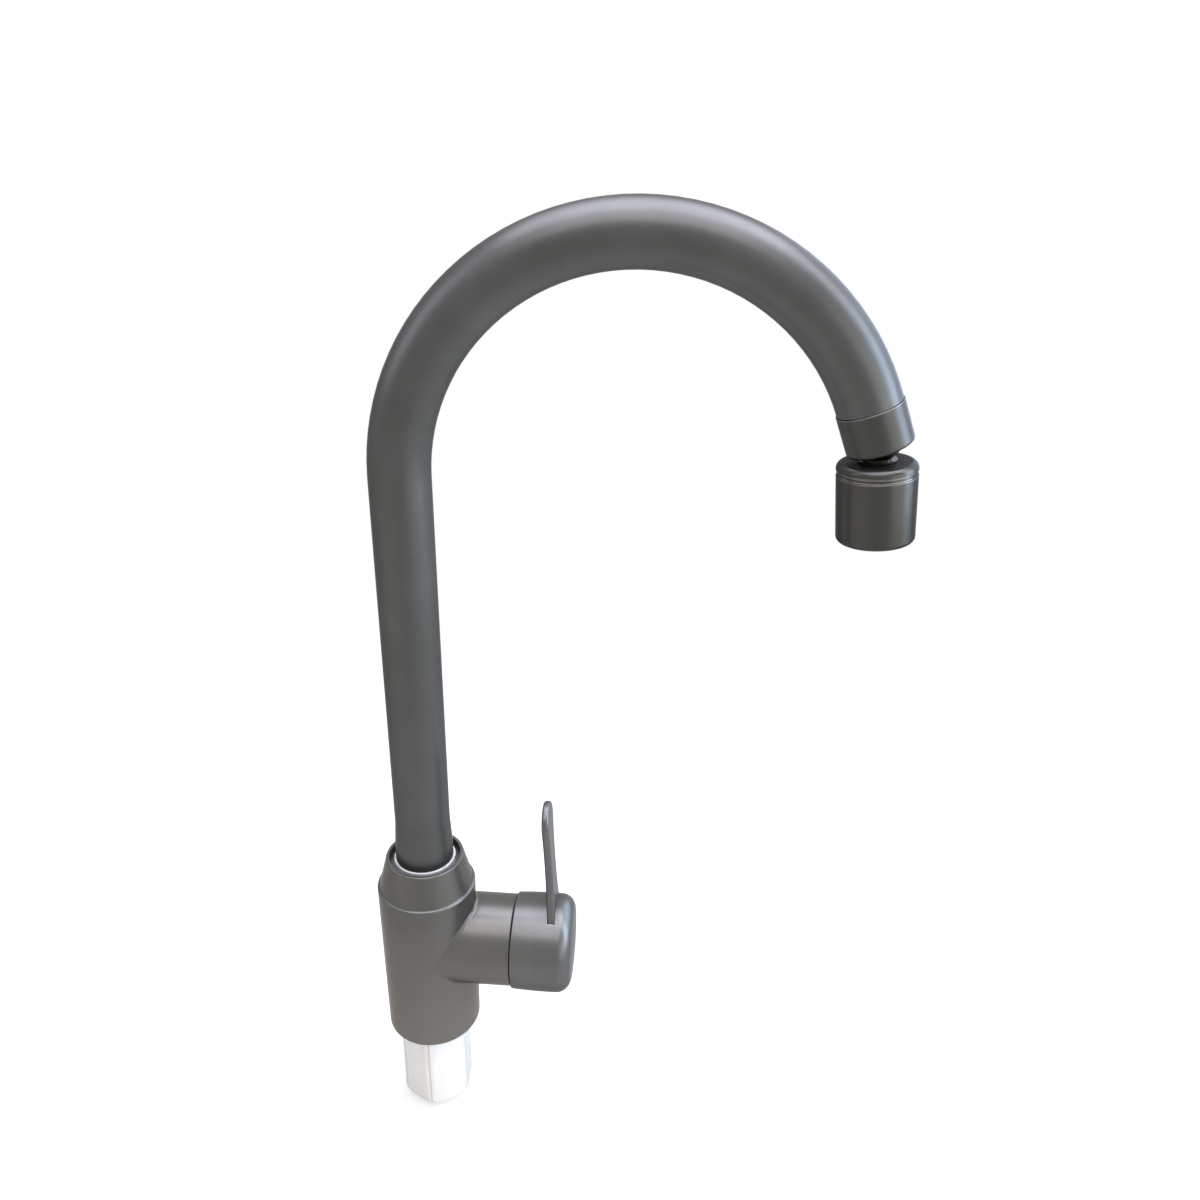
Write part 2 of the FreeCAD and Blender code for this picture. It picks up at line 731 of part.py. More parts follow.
def bent_rod(radius, start):
    """The gooseneck's bend as a solid of one radius, from an angle along it to its end."""
    section = Part.Face(Part.Wire(Part.makeCircle(radius, FreeCAD.Vector(0, 0, riser_top), up)))
    section.rotate(bend_centre, across, start)
    return section.revolve(bend_centre, across, bend_angle - start)


def spout_line(radius, low):
    """The gooseneck's solid line of one radius: a straight riser and one round bend."""
    return rod(radius, low, riser_top).fuse(bent_rod(radius, 0))


def spout_tube():
    """The gooseneck tube, hollow from end to end, its foot a little thicker above the guide ring."""
    foot_low = ring_top + slide_gap
    foot_radius = tube_radius + foot_swell
    taper_end = foot_low + foot_height + foot_taper
    foot = turned([
        (0, foot_low), (foot_radius, foot_low, foot_swell / 2),
        (foot_radius, foot_low + foot_height, foot_blend), (tube_radius, taper_end, foot_blend),
        (tube_radius, taper_end + foot_height), (0, taper_end + foot_height)])
    outside = spout_line(tube_radius, tube_low).fuse(foot)
    inside = spout_line(tube_bore, tube_low)
    longer = rod(tube_bore, tube_low - 1, riser_top)
    far = to_axis(rod(tube_bore, -0.01, 1), tube_end, end_lean)
    return clean(outside.cut(inside).cut(longer).cut(far))


def spout_spigot():
    """Turned foot of the spout: seal length with two O-ring grooves, screw groove, and sleeve in the tube."""
    low = socket_floor + 0.5
    shoulder_low = slip_seat + slip_ring_thick + face_gap
    solid = turned([
        (spigot_bore, low), (spigot_radius, low, corner), (spigot_radius, shoulder_low),
        (tube_radius, shoulder_low), (tube_radius, tube_low - face_gap),
        (tube_bore - thread_play, tube_low - face_gap),
        (tube_bore - thread_play, tube_low + spigot_sleeve, corner), (spigot_bore, tube_low + spigot_sleeve)])
    for height in spout_ring_places():
        solid = solid.cut(ring(spigot_radius + 1, seal_bore - 2 * spout_o_ring - running_play / 2,
                               height - 1.5 * spout_o_ring, height + 1.5 * spout_o_ring))
    groove = ring(spigot_radius + 1, spigot_radius - retaining_groove_depth,
                  retaining_height - retaining_groove / 2, retaining_height + retaining_groove / 2)
    return clean(solid.cut(groove))


def spout_ring_places():
    """Heights of the spout's two O-rings."""
    return [socket_floor + seal_length * 0.25, socket_floor + seal_length * 0.52]


def end_bush():
    """Threaded bush brazed in the tube's end, its sleeve bent like the tube. The ferrule screws onto it."""
    thread = spout_end(ring(ferrule_bore - thread_play, end_bush_bore, 0, end_bush_thread))
    start = bend_angle - math.degrees(end_bush_sleeve / bend_radius)
    sleeve = bent_rod(tube_bore - thread_play, start).cut(bent_rod(end_bush_bore, start))
    return clean(sleeve.fuse(thread))


def ferrule():
    """The spout's end nut. Its lower lip is turned in to hold the ball."""
    outside = turned([
        (0, slide_gap), (ferrule_outer, slide_gap, slide_gap), (ferrule_outer, ferrule_length, ferrule_round),
        (0, ferrule_length)])
    outside = outside.cut(rod(ferrule_bore, 0, ball_depth))
    return clean(outside.cut(Part.makeSphere(ball_seat_radius, FreeCAD.Vector(0, 0, ball_depth))))


def ball_seat():
    """Low-friction ring between the threaded bush and the ball."""
    low = end_bush_thread + face_gap
    outer = ferrule_bore - running_play
    seat = ring(outer, outer - ball_seat_wall, low, low + ball_seat_height)
    return clean(seat.cut(Part.makeSphere(ball_seat_radius, FreeCAD.Vector(0, 0, ball_depth))))


def ball_stem():
    """Drilled ball with its neck, waist, flange and threaded stem, about the head's axis."""
    flange_end = head_drop - face_gap
    flange_low = flange_end - stem_flange_thick
    neck_end = flange_low - waist_length
    stem_end = head_drop + stem_reach
    ball = Part.makeSphere(ball_radius)
    stem = turned([
        (0, 0), (ball_neck_radius, 0), (ball_neck_radius, neck_end, neck_round), (waist_radius, neck_end),
        (waist_radius, flange_low), (stem_flange_radius, flange_low), (stem_flange_radius, flange_end),
        (stem_radius, flange_end), (stem_radius, stem_end, corner), (0, stem_end)])
    solid = ball.fuse(stem)
    top_cut = rod(ball_radius + 1, -ball_radius - 1, ball_flat - ball_radius)
    return clean(solid.cut(top_cut).cut(rod(ball_bore, -ball_radius - 1, head_low)))


def head_cap():
    """Top of the outlet head: rounded shoulder, groove, and a threaded spigot inside the shell."""
    spigot_end = shell_top + head_spigot_length
    inner = spigot_outer - head_spigot_wall
    ceiling = head_drop + head_cap_wall
    bore = stem_radius + thread_play
    return turned([
        (bore, head_drop), (head_radius, head_drop, head_top_round), (head_radius, groove_top, slide_gap),
        (head_radius - head_groove_depth, groove_top),
        (head_radius - head_groove_depth, shell_top - face_gap),
        (spigot_outer, shell_top - face_gap), (spigot_outer, spigot_end, corner), (inner, spigot_end),
        (inner, ceiling, corner), (bore, ceiling)])


def stem_washer():
    """Sealing washer between the head's cap and the nut on the stem."""
    low = head_drop + head_cap_wall + face_gap
    return ring(stem_radius + stem_nut_wall, stem_radius + thread_play, low, low + stem_washer_thick)


def stem_nut():
    """Slotted ring nut that holds the head on the ball's stem."""
    low = head_drop + head_cap_wall + stem_washer_thick + 2 * face_gap
    nut = ring(stem_radius + stem_nut_wall, stem_radius + thread_play, low, low + stem_nut_height)
    slot = Part.makeBox(
        4 * stem_radius, stem_nut_height / 2, stem_nut_height,
        FreeCAD.Vector(-2 * stem_radius, -stem_nut_height / 4, low + stem_nut_height / 2))
    return clean(nut.cut(slot))


housing_top = shell_top + head_spigot_length + aerator_washer_thick + 2 * face_gap
housing_bottom = head_low - aerator_sink
housing_radius = shell_bore - thread_play
lip_radius = housing_radius - aerator_lip


def head_shell():
    """Outer shell of the head: slightly tapered, rounded below, with a lip that carries the aerator."""
    bottom_radius = head_radius - head_taper
    return turned([
        (shell_bore, shell_top), (head_radius, shell_top, slide_gap),
        (bottom_radius, head_low, head_bottom_round),
        (lip_radius, head_low, corner), (lip_radius, housing_bottom), (shell_bore, housing_bottom)])


def aerator_washer():
    """Rubber washer between the head cap's spigot and the aerator."""
    low = shell_top + head_spigot_length + face_gap
    return ring(housing_radius, housing_radius - head_spigot_wall, low, housing_top - face_gap)


def aerator_housing():
    """Moulded cup with air slots in its wall and a step for the grille."""
    bore = housing_radius - aerator_wall
    cup = turned([
        (bore, housing_top), (housing_radius, housing_top), (housing_radius, housing_bottom - face_gap),
        (lip_radius - thread_play, housing_bottom - face_gap),
        (lip_radius - thread_play, head_low - aerator_sink / 2),
        (lip_radius - aerator_wall, head_low - aerator_sink / 2), (lip_radius - aerator_wall, grille_low()),
        (bore, grille_low())])
    slot = Part.makeBox(
        2 * housing_radius, air_slot_width, air_slot_height,
        FreeCAD.Vector(bore - 1, -air_slot_width / 2, housing_top + aerator_height / 2))
    for cutter in polar(slot, air_slots):
        cup = cup.cut(cutter)
    return clean(cup)


def grille_low():
    """Upper face of the step that carries the grille."""
    return housing_bottom - aerator_wall


def insert_radius():
    """Radius of the plates that lie in the aerator's housing."""
    return housing_radius - aerator_wall - face_gap


def aerator_grille():
    """Outlet plate with rows of round holes in a honeycomb pattern."""
    high = grille_low() - face_gap
    plate = rod(insert_radius(), high - grille_thick, high)
    limit = lip_radius - aerator_wall - grille_hole
    rows = int(limit / (grille_pitch * math.sqrt(3) / 2)) + 1
    holes = []
    for row in range(-rows, rows + 1):
        y = row * grille_pitch * math.sqrt(3) / 2
        for column in range(-rows, rows + 1):
            x = (column + (row % 2) / 2) * grille_pitch
            if math.hypot(x, y) < limit:
                spot = FreeCAD.Vector(x, y, high - grille_thick - 1)
                holes.append(Part.makeCylinder(grille_hole, grille_thick + 2, spot))
    return plate.cut(Part.makeCompound(holes))


def aerator_screens():
    """Stack of fine screens above the grille, each a thin disc."""
    low = grille_low() - grille_thick - 2 * face_gap
    discs = []
    for k in range(screen_count):
        high = low - k * (screen_thick + screen_gap)
        discs.append(rod(insert_radius(), high - screen_thick, high))
    return Part.makeCompound(discs)


def screen_spacers():
    """Rings that keep the screens and the mixing plate apart."""
    low = grille_low() - grille_thick - 2 * face_gap
    rings = []
    for k in range(screen_count):
        high = low - k * (screen_thick + screen_gap) - screen_thick - face_gap
        thick = screen_gap - 2 * face_gap
        rings.append(ring(insert_radius(), insert_radius() - spacer_wall, high - thick, high))
    return Part.makeCompound(rings)


def mixing_plate():
    """Plate with a ring of small jets that draws air into the water."""
    high = grille_low() - grille_thick - 2 * face_gap - screen_count * (screen_thick + screen_gap)
    plate = turned([
        (0, high - mixer_thick), (insert_radius(), high - mixer_thick), (insert_radius(), high), (0, high)])
    start = FreeCAD.Vector(mixer_circle, 0, high - mixer_thick - 1)
    jet = Part.makeCylinder(mixer_hole, mixer_thick + 2, start)
    for cutter in polar(jet, mixer_holes):
        plate = plate.cut(cutter)
    return plate


def spout_end(shape):
    """Places a piece of the ferrule's group."""
    return to_axis(shape, tube_end, end_lean)


def on_head(shape):
    """Places a piece of the outlet head."""
    return to_axis(shape, ball_centre, head_lean)


seat_ring = ring(disc_radius, seat_bore, seat_place, fixed_disc_start - face_gap)
valve_washer = ring(
    valve_flange_flats / 2 + valve_washer_rim, chamber_radius + face_gap, pocket_floor, flange_start)
washer_low = shank_depth
spout_rings = [o_ring_at(seal_bore, h, spout_o_ring) for h in spout_ring_places()]
spindle_rings = [o_ring_at(spindle_radius + running_play, h, o_ring) for h in spindle_ring_places()]

pieces = {
    "tap_body": body(),
    "threaded_shank": shank(),
    "sleeve_nut": sleeve_nut(),
    "deck_gasket": ring(gasket_outer, gasket_inner, 0, gasket_thick - face_gap),
    "inlet_washer": ring(
        shank_radius, inlet_washer_bore, washer_low + face_gap, washer_low + inlet_washer_thick),
    "collar_bush": collar_bush(),
    "retaining_screw": retaining_screw(),
    "slip_ring": ring(
        bush_outer - face_gap, spigot_radius + 2 * running_play, slip_seat, slip_seat + slip_ring_thick),
    "valve_body": to_valve(valve_body()),
    "valve_washer": to_valve(valve_washer),
    "valve_seat_seal": to_valve(seat_ring),
    "valve_fixed_disc": to_valve(ported_disc(fixed_disc_start, 0)),
    "valve_moving_disc": to_valve(moving_disc()),
    "valve_spindle": to_valve(spindle()),
    "spindle_o_rings": to_valve(Part.makeCompound(spindle_rings)),
    "spindle_clip": to_valve(spindle_clip()),
    "handle_cap": handle_cap(),
    "lever": lever(),
    "lever_pin": lever_pin_hole(lever_pin_radius, lever_pin_length),
    "handle_screw": handle_screw(),
    "handle_plug": handle_plug(),
    "spout_tube": spout_tube(),
    "spout_spigot": spout_spigot(),
    "spout_o_rings": Part.makeCompound(spout_rings),
    "spout_end_bush": end_bush(),
    "spout_ferrule": spout_end(ferrule()),
    "ball_seat": spout_end(ball_seat()),
    "ball_stem": on_head(ball_stem()),
    "head_cap": on_head(head_cap()),
    "stem_washer": on_head(stem_washer()),
    "stem_nut": on_head(stem_nut()),
    "head_shell": on_head(head_shell()),
    "aerator_washer": on_head(aerator_washer()),
    "aerator_housing": on_head(aerator_housing()),
    "mixing_plate": on_head(mixing_plate()),
    "aerator_screens": on_head(aerator_screens()),
    "screen_spacers": on_head(screen_spacers()),
    "aerator_grille": on_head(aerator_grille()),
}

os.makedirs("parts", exist_ok=True)
for name, shape in pieces.items():
    shape.exportStep("parts/" + name + ".step")
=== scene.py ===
import json
import logging
import math
from dataclasses import dataclass
from enum import Enum
from typing import Any, Callable, ClassVar, Sequence

import bpy
import numpy as np
from mathutils import Matrix, Vector


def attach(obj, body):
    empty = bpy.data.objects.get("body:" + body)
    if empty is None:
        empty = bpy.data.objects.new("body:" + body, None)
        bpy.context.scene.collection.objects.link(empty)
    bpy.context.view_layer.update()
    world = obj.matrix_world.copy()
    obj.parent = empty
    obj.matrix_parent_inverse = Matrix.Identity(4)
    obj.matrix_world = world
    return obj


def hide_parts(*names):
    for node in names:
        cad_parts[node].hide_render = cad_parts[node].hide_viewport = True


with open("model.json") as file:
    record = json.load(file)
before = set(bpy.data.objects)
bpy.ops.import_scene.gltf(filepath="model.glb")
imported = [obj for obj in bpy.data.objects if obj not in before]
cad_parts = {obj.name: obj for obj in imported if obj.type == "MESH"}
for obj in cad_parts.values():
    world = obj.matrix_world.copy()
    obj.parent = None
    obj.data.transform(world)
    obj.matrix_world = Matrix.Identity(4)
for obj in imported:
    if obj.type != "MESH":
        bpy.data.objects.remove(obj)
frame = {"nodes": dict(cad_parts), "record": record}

# A kitchen tap in satin graphite paint: body with a side valve, gooseneck spout, outlet head on a
# ball. Everything is in metres, in the tap's own frame: +Z is up, +X runs along the spout, and the
# deck is at z = 0.

LOG = logging.getLogger("kitchen_tap")
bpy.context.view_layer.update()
MM = 0.001

# Cosines of the turn between the softened and the true normal where an edge starts to show, and
# where it shows in full.
EDGE_START = 0.995
EDGE_FULL = 0.90

Socket = bpy.types.NodeSocket
Tree = bpy.types.NodeTree


def linear(hex_code: str) -> tuple[float, float, float, float]:
    """Turns an sRGB hex colour into the linear values that shaders take.

    Args:
        hex_code: A hash and six hex digits.

    Returns:
        Linear red, green and blue, and full opacity.
    """
    digits = hex_code.lstrip("#")
    channels = []
    for start in (0, 2, 4):
        value = int(digits[start:start + 2], 16) / 255.0
        # The standard sRGB curve: a straight toe, then a power of 2.4.
        channels.append(value / 12.92 if value <= 0.04045 else ((value + 0.055) / 1.055) ** 2.4)
    return channels[0], channels[1], channels[2], 1.0


def per_mm(size_mm: float) -> float:
    """Scale of a texture whose features are size_mm long, for coordinates in metres."""
    return 1.0 / (size_mm * MM)


def add_node(
    tree: Tree,
    kind: str,
    settings: dict[Any, Any] | None = None,
    links: dict[Any, Socket] | None = None,
    stops: Sequence[tuple[float, tuple[float, ...]]] = (),
) -> bpy.types.Node:
    """Adds a node with its settings and its incoming links.

    Args:
        tree: The node tree that gets the node.
        kind: The node's type name.
        settings: Values by name. A lower-case name is the node's own option, any other is an input.
        links: Output sockets of other nodes by the name or number of the input that they feed.
        stops: Positions and linear colours, for a node that holds a colour ramp.

    Returns:
        The new node.
    """
    node = tree.nodes.new(kind)
    for key, value in (settings or {}).items():
        if isinstance(key, str) and key.islower():
            setattr(node, key, value)
        else:
            node.inputs[key].default_value = value
    for key, source in (links or {}).items():
        tree.links.new(source, node.inputs[key])
    for index, (position, colour) in enumerate(stops):
        elements = node.color_ramp.elements
        element = elements[index] if index < len(elements) else elements.new(position)
        element.position = position
        element.color = colour
    return node


def edge_share(tree: Tree, reach_mm: float, most: float) -> Socket:
    """Finds a piece's sharp edges by how far a softened normal turns away from the true one.

    Args:
        tree: The material's node tree.
        reach_mm: How far from an edge the effect reaches, in millimetres.
        most: The share right on the edge.

    Returns:
        The share, 0 on the open faces.
    """
    facing = add_node(tree, "ShaderNodeNewGeometry")
    softened = add_node(tree, "ShaderNodeBevel", {"samples": 8, "Radius": reach_mm * MM})
    turn = add_node(
        tree, "ShaderNodeVectorMath", {"operation": "DOT_PRODUCT"},
        {0: softened.outputs["Normal"], 1: facing.outputs["Normal"]})
    share = add_node(
        tree, "ShaderNodeMapRange",
        {"From Min": EDGE_START, "From Max": EDGE_FULL, "To Max": most},
        {"Value": turn.outputs["Value"]})
    return share.outputs["Result"]


class Way(Enum):
    """The lines that the tap's turned pieces were turned about."""

    RISER = (0.0, 0.0, 1.0)
    VALVE = (1.0, 0.0, 0.0)
    FERRULE = (0.369747, 0.0, -0.929133)
    HEAD = (0.099320, 0.0, -0.995056)


class Finish:
    """A surface finish. Each kind says how its own light comes back."""

    name: str

    def shade(self, tree: Tree) -> bpy.types.Node:
        """Builds the finish's nodes and returns its shader."""
        raise NotImplementedError

    def build(self) -> bpy.types.Material:
        """Makes the material.

        Returns:
            A node material with this finish on its surface output.
        """
        material = bpy.data.materials.new(self.name)
        material.use_nodes = True
        tree = material.node_tree
        tree.nodes.clear()
        add_node(tree, "ShaderNodeOutputMaterial", links={"Surface": self.shade(tree).outputs[0]})
        return material


@dataclass(frozen=True)
class PowderCoat(Finish):
    """Satin polyester powder, sprayed and baked: a soft even sheen over a finely pebbled skin."""

    name: str = "powder_coat_graphite"
    colour: str = "#494946"
    light_colour: str = "#50504D"
    edge_wear_highlight_colour: str = "#7C7B78"
    sheen_colour: str = "#959593"
    metallic: float = 0.72
    roughness: float = 0.36
    pebble_mm: float = 0.6
    pebble_depth_mm: float = 0.010
    drift_mm: float = 28.0
    edge_mm: float = 0.5
    edge_most: float = 0.7
    gloss_drop: float = 0.03
    gloss_rise: float = 0.04
    # Colour of the painted bounce light at the foot, and the height where it fades out.
    painted_bounce_colour: str | None = None
    low_mm: float = 70.0

    def shade(self, tree: Tree) -> bpy.types.Node:
        """Builds the paint.

        Args:
            tree: The material's node tree.

        Returns:
            The paint's shader.
        """
        place = add_node(tree, "ShaderNodeTexCoord").outputs["Object"]
        # Baked powder flows unevenly, so the tone drifts by a few percent over a few centimetres.
        drift = add_node(
            tree, "ShaderNodeTexNoise",
            {"Scale": per_mm(self.drift_mm), "Detail": 3.0, "Roughness": 0.6}, {"Vector": place})
        tone = add_node(
            tree, "ShaderNodeValToRGB", links={"Fac": drift.outputs["Fac"]},
            stops=((0.30, linear(self.colour)), (0.70, linear(self.light_colour))))
        coat = tone.outputs["Color"]
        if self.painted_bounce_colour:
            # Painted light: the coat is drawn paler and warmer towards the piece's foot, for warm
            # light reflected up onto it from below.
            height = add_node(tree, "ShaderNodeSeparateXYZ", links={0: place}).outputs["Z"]
            share = add_node(
                tree, "ShaderNodeMapRange", {"From Min": self.low_mm * MM, "From Max": 0.0},
                {"Value": height})
            coat = add_node(
                tree, "ShaderNodeMix", {"data_type": "RGBA", 7: linear(self.painted_bounce_colour)},
                {0: share.outputs["Result"], 6: coat}).outputs[2]
        # The coat is thinner and rubbed smoother on sharp edges, and the paler line drawn there is
        # partly a painted highlight along the edge.
        colour = add_node(
            tree, "ShaderNodeMix", {"data_type": "RGBA", 7: linear(self.edge_wear_highlight_colour)},
            {0: edge_share(tree, self.edge_mm, self.edge_most), 6: coat})
        # The real pebbles are about 0.15 mm across. They are drawn coarser, so that they show.
        pebbles = add_node(
            tree, "ShaderNodeTexNoise",
            {"Scale": per_mm(self.pebble_mm), "Detail": 2.0, "Roughness": 0.55}, {"Vector": place})
        relief = add_node(
            tree, "ShaderNodeBump", {"Strength": 0.5, "Distance": self.pebble_depth_mm * MM},
            {"Height": pebbles.outputs["Fac"]})
        sheen = add_node(
            tree, "ShaderNodeMapRange",
            {"To Min": self.roughness - self.gloss_drop,
             "To Max": self.roughness + self.gloss_rise},
            {"Value": pebbles.outputs["Fac"]})
        return add_node(
            tree, "ShaderNodeBsdfPrincipled",
            {"Metallic": self.metallic, "IOR": 1.5, "Specular Tint": linear(self.sheen_colour)},
            {"Base Color": colour.outputs[2], "Roughness": sheen.outputs["Result"],
             "Normal": relief.outputs["Normal"]})


@dataclass(frozen=True)
class MouldedNylon(Finish):
    """Natural white nylon, moulded in a polished tool: glossy, milky and a little see-through."""

    name: str = "nylon_moulded_white"
    colour: str = "#F8F5EC"
    flow_colour: str = "#F1EEE4"
    # Colour of the painted shade bands along the corners and the edge-on sides.
    corner_shade_colour: str = "#9C9E96"
    roughness: float = 0.16
    ior: float = 1.53
    see_through: float = 0.40
    scatter_share: float = 0.25
    scatter_mm: float = 2.0
    flow_mm: float = 6.0
    flow_stretch: float = 0.18
    ripple_depth_mm: float = 0.03
    flats: int = 6
    corner_shade_most: float = 0.55
    grazing_shade_most: float = 0.90

    def shade(self, tree: Tree) -> bpy.types.Node:
        """Builds the nylon.

        Args:
            tree: The material's node tree.

        Returns:
            The nylon's shader.
        """
        place = add_node(tree, "ShaderNodeTexCoord").outputs["Object"]
        # The melt ran along the sleeve, so its faint streaks are long and upright.
        stretch = add_node(
            tree, "ShaderNodeMapping", {"Scale": (1.0, 1.0, self.flow_stretch)}, {"Vector": place})
        flow = add_node(
            tree, "ShaderNodeTexNoise",
            {"Scale": per_mm(self.flow_mm), "Detail": 3.0, "Roughness": 0.5, "Distortion": 0.4},
            {"Vector": stretch.outputs["Vector"]})
        tone = add_node(
            tree, "ShaderNodeValToRGB", links={"Fac": flow.outputs["Fac"]},
            stops=((0.35, linear(self.flow_colour)), (0.62, linear(self.colour))))
        # Grey-green bands of painted shade along the long corners and where the wall is seen edge
        # on, for the less light that comes back from the milky wall there. The wave is lowest half
        # way between two flats.
        facing = add_node(tree, "ShaderNodeTexCoord").outputs["Normal"]
        normal = add_node(tree, "ShaderNodeSeparateXYZ", links={0: facing})
        turn = add_node(
            tree, "ShaderNodeMath", {"operation": "ARCTAN2"},
            {0: normal.outputs["Y"], 1: normal.outputs["X"]})
        wave = add_node(
            tree, "ShaderNodeMath", {"operation": "MULTIPLY", 1: float(self.flats)},
            {0: turn.outputs[0]})
        ridge = add_node(tree, "ShaderNodeMath", {"operation": "COSINE"}, {0: wave.outputs[0]})
        corner = add_node(
            tree, "ShaderNodeMapRange",
            {"From Min": -0.80, "From Max": -1.0, "To Max": self.corner_shade_most},
            {"Value": ridge.outputs[0]})
        grazing = add_node(
            tree, "ShaderNodeMapRange",
            {"From Min": 0.48, "From Max": 0.85, "To Max": self.grazing_shade_most},
            {"Value": add_node(tree, "ShaderNodeLayerWeight").outputs["Facing"]})
        shade_band = add_node(
            tree, "ShaderNodeMath", {"operation": "MAXIMUM"},
            {0: corner.outputs["Result"], 1: grazing.outputs["Result"]})
        colour = add_node(
            tree, "ShaderNodeMix", {"data_type": "RGBA", 7: linear(self.corner_shade_colour)},
            {0: shade_band.outputs[0], 6: tone.outputs["Color"]})
        # Thick moulded walls sink by a few hundredths of a millimetre as they cool.
        relief = add_node(
            tree, "ShaderNodeBump", {"Strength": 0.6, "Distance": self.ripple_depth_mm * MM},
            {"Height": flow.outputs["Fac"]})
        return add_node(
            tree, "ShaderNodeBsdfPrincipled",
            {"Roughness": self.roughness, "IOR": self.ior, "Transmission Weight": self.see_through,
             "Subsurface Weight": self.scatter_share, "Subsurface Radius": (1.0, 1.0, 0.9),
             "Subsurface Scale": self.scatter_mm * MM},
            {"Base Color": colour.outputs[2], "Normal": relief.outputs["Normal"]})


@dataclass(frozen=True)
class TurnedFinish(Finish):
    """A lathe-turned surface: fine rings about one line, which draw its highlights out."""

    name: str
    colour: str
    stain_colour: str
    metallic: float
    roughness: float
    way: Way = Way.RISER
    ring_mm: float = 0.35
    ring_depth_mm: float = 0.008
    stain_mm: float = 7.0
    gloss_drop: float = 0.04
    gloss_rise: float = 0.10

    def shade(self, tree: Tree) -> bpy.types.Node:
        """Builds the turned surface.

        Args:
            tree: The material's node tree.

        Returns:
            The surface's shader.
        """
        place = add_node(tree, "ShaderNodeTexCoord").outputs["Object"]
        along = add_node(
            tree, "ShaderNodeVectorMath", {"operation": "DOT_PRODUCT", 1: self.way.value},
            {0: place})
        # A tool leaves rings some 0.1 mm apart. They are drawn coarser, so that they show.
        rings = add_node(
            tree, "ShaderNodeTexNoise",
            {"noise_dimensions": "1D", "Scale": per_mm(self.ring_mm), "Detail": 1.0},
            {"W": along.outputs["Value"]})
        stain = add_node(
            tree, "ShaderNodeTexNoise",
            {"Scale": per_mm(self.stain_mm), "Detail": 4.0, "Roughness": 0.6}, {"Vector": place})
        tone = add_node(
            tree, "ShaderNodeValToRGB", links={"Fac": stain.outputs["Fac"]},
            stops=((0.38, linear(self.colour)), (0.75, linear(self.stain_colour))))
        relief = add_node(
            tree, "ShaderNodeBump", {"Strength": 0.7, "Distance": self.ring_depth_mm * MM},
            {"Height": rings.outputs["Fac"]})
        sheen = add_node(
            tree, "ShaderNodeMapRange",
            {"To Min": self.roughness - self.gloss_drop,
             "To Max": self.roughness + self.gloss_rise},
            {"Value": stain.outputs["Fac"]})
        return add_node(
            tree, "ShaderNodeBsdfPrincipled", {"Metallic": self.metallic},
            {"Base Color": tone.outputs["Color"], "Roughness": sheen.outputs["Result"],
             "Normal": relief.outputs["Normal"]})


@dataclass(frozen=True)
class MouldedPlastic(Finish):
    """ABS, moulded in a spark-eroded tool: a fine even grain and a low, broad sheen."""

    name: str
    colour: str
    roughness: float
    ior: float = 1.5
    grain_mm: float = 0.4
    grain_depth_mm: float = 0.015
    drift_mm: float = 9.0
    darkest: float = 0.92
    lightest: float = 1.06

    def shade(self, tree: Tree) -> bpy.types.Node:
        """Builds the plastic.

        Args:
            tree: The material's node tree.

        Returns:
            The plastic's shader.
        """
        place = add_node(tree, "ShaderNodeTexCoord").outputs["Object"]
        # Spark erosion leaves craters of about 0.05 mm. They are drawn coarser, so that they show.
        grain = add_node(
            tree, "ShaderNodeTexVoronoi", {"feature": "SMOOTH_F1", "Scale": per_mm(self.grain_mm)},
            {"Vector": place})
        drift = add_node(
            tree, "ShaderNodeTexNoise", {"Scale": per_mm(self.drift_mm), "Detail": 2.0},
            {"Vector": place})
        lightness = add_node(
            tree, "ShaderNodeMapRange", {"To Min": self.darkest, "To Max": self.lightest},
            {"Value": drift.outputs["Fac"]})
        tone = add_node(
            tree, "ShaderNodeHueSaturation", {"Color": linear(self.colour)},
            {"Value": lightness.outputs["Result"]})
        relief = add_node(
            tree, "ShaderNodeBump", {"Strength": 0.5, "Distance": self.grain_depth_mm * MM},
            {"Height": grain.outputs["Distance"]})
        return add_node(
            tree, "ShaderNodeBsdfPrincipled", {"Roughness": self.roughness, "IOR": self.ior},
            {"Base Color": tone.outputs["Color"], "Normal": relief.outputs["Normal"]})


@dataclass(frozen=True)
class LappedCeramic(Finish):
    """Alumina, fired and lapped flat: ivory, dense, faintly speckled, with a wet-looking polish."""

    name: str = "alumina_lapped"
    colour: str = "#E6E2D6"
    speck_colour: str = "#CFC9B8"
    speck_mm: float = 0.5
    roughness: float = 0.16
    ior: float = 1.76

    def shade(self, tree: Tree) -> bpy.types.Node:
        """Builds the ceramic.

        Args:
            tree: The material's node tree.

        Returns:
            The ceramic's shader.
        """
        place = add_node(tree, "ShaderNodeTexCoord").outputs["Object"]
        # Fired grains are far finer than this. They are drawn coarser, so that the speckle shows.
        specks = add_node(
            tree, "ShaderNodeTexNoise", {"Scale": per_mm(self.speck_mm), "Detail": 4.0},
            {"Vector": place})
        tone = add_node(
            tree, "ShaderNodeValToRGB", links={"Fac": specks.outputs["Fac"]},
            stops=((0.52, linear(self.colour)), (0.72, linear(self.speck_colour))))
        return add_node(
            tree, "ShaderNodeBsdfPrincipled", {"Roughness": self.roughness, "IOR": self.ior},
            {"Base Color": tone.outputs["Color"]})


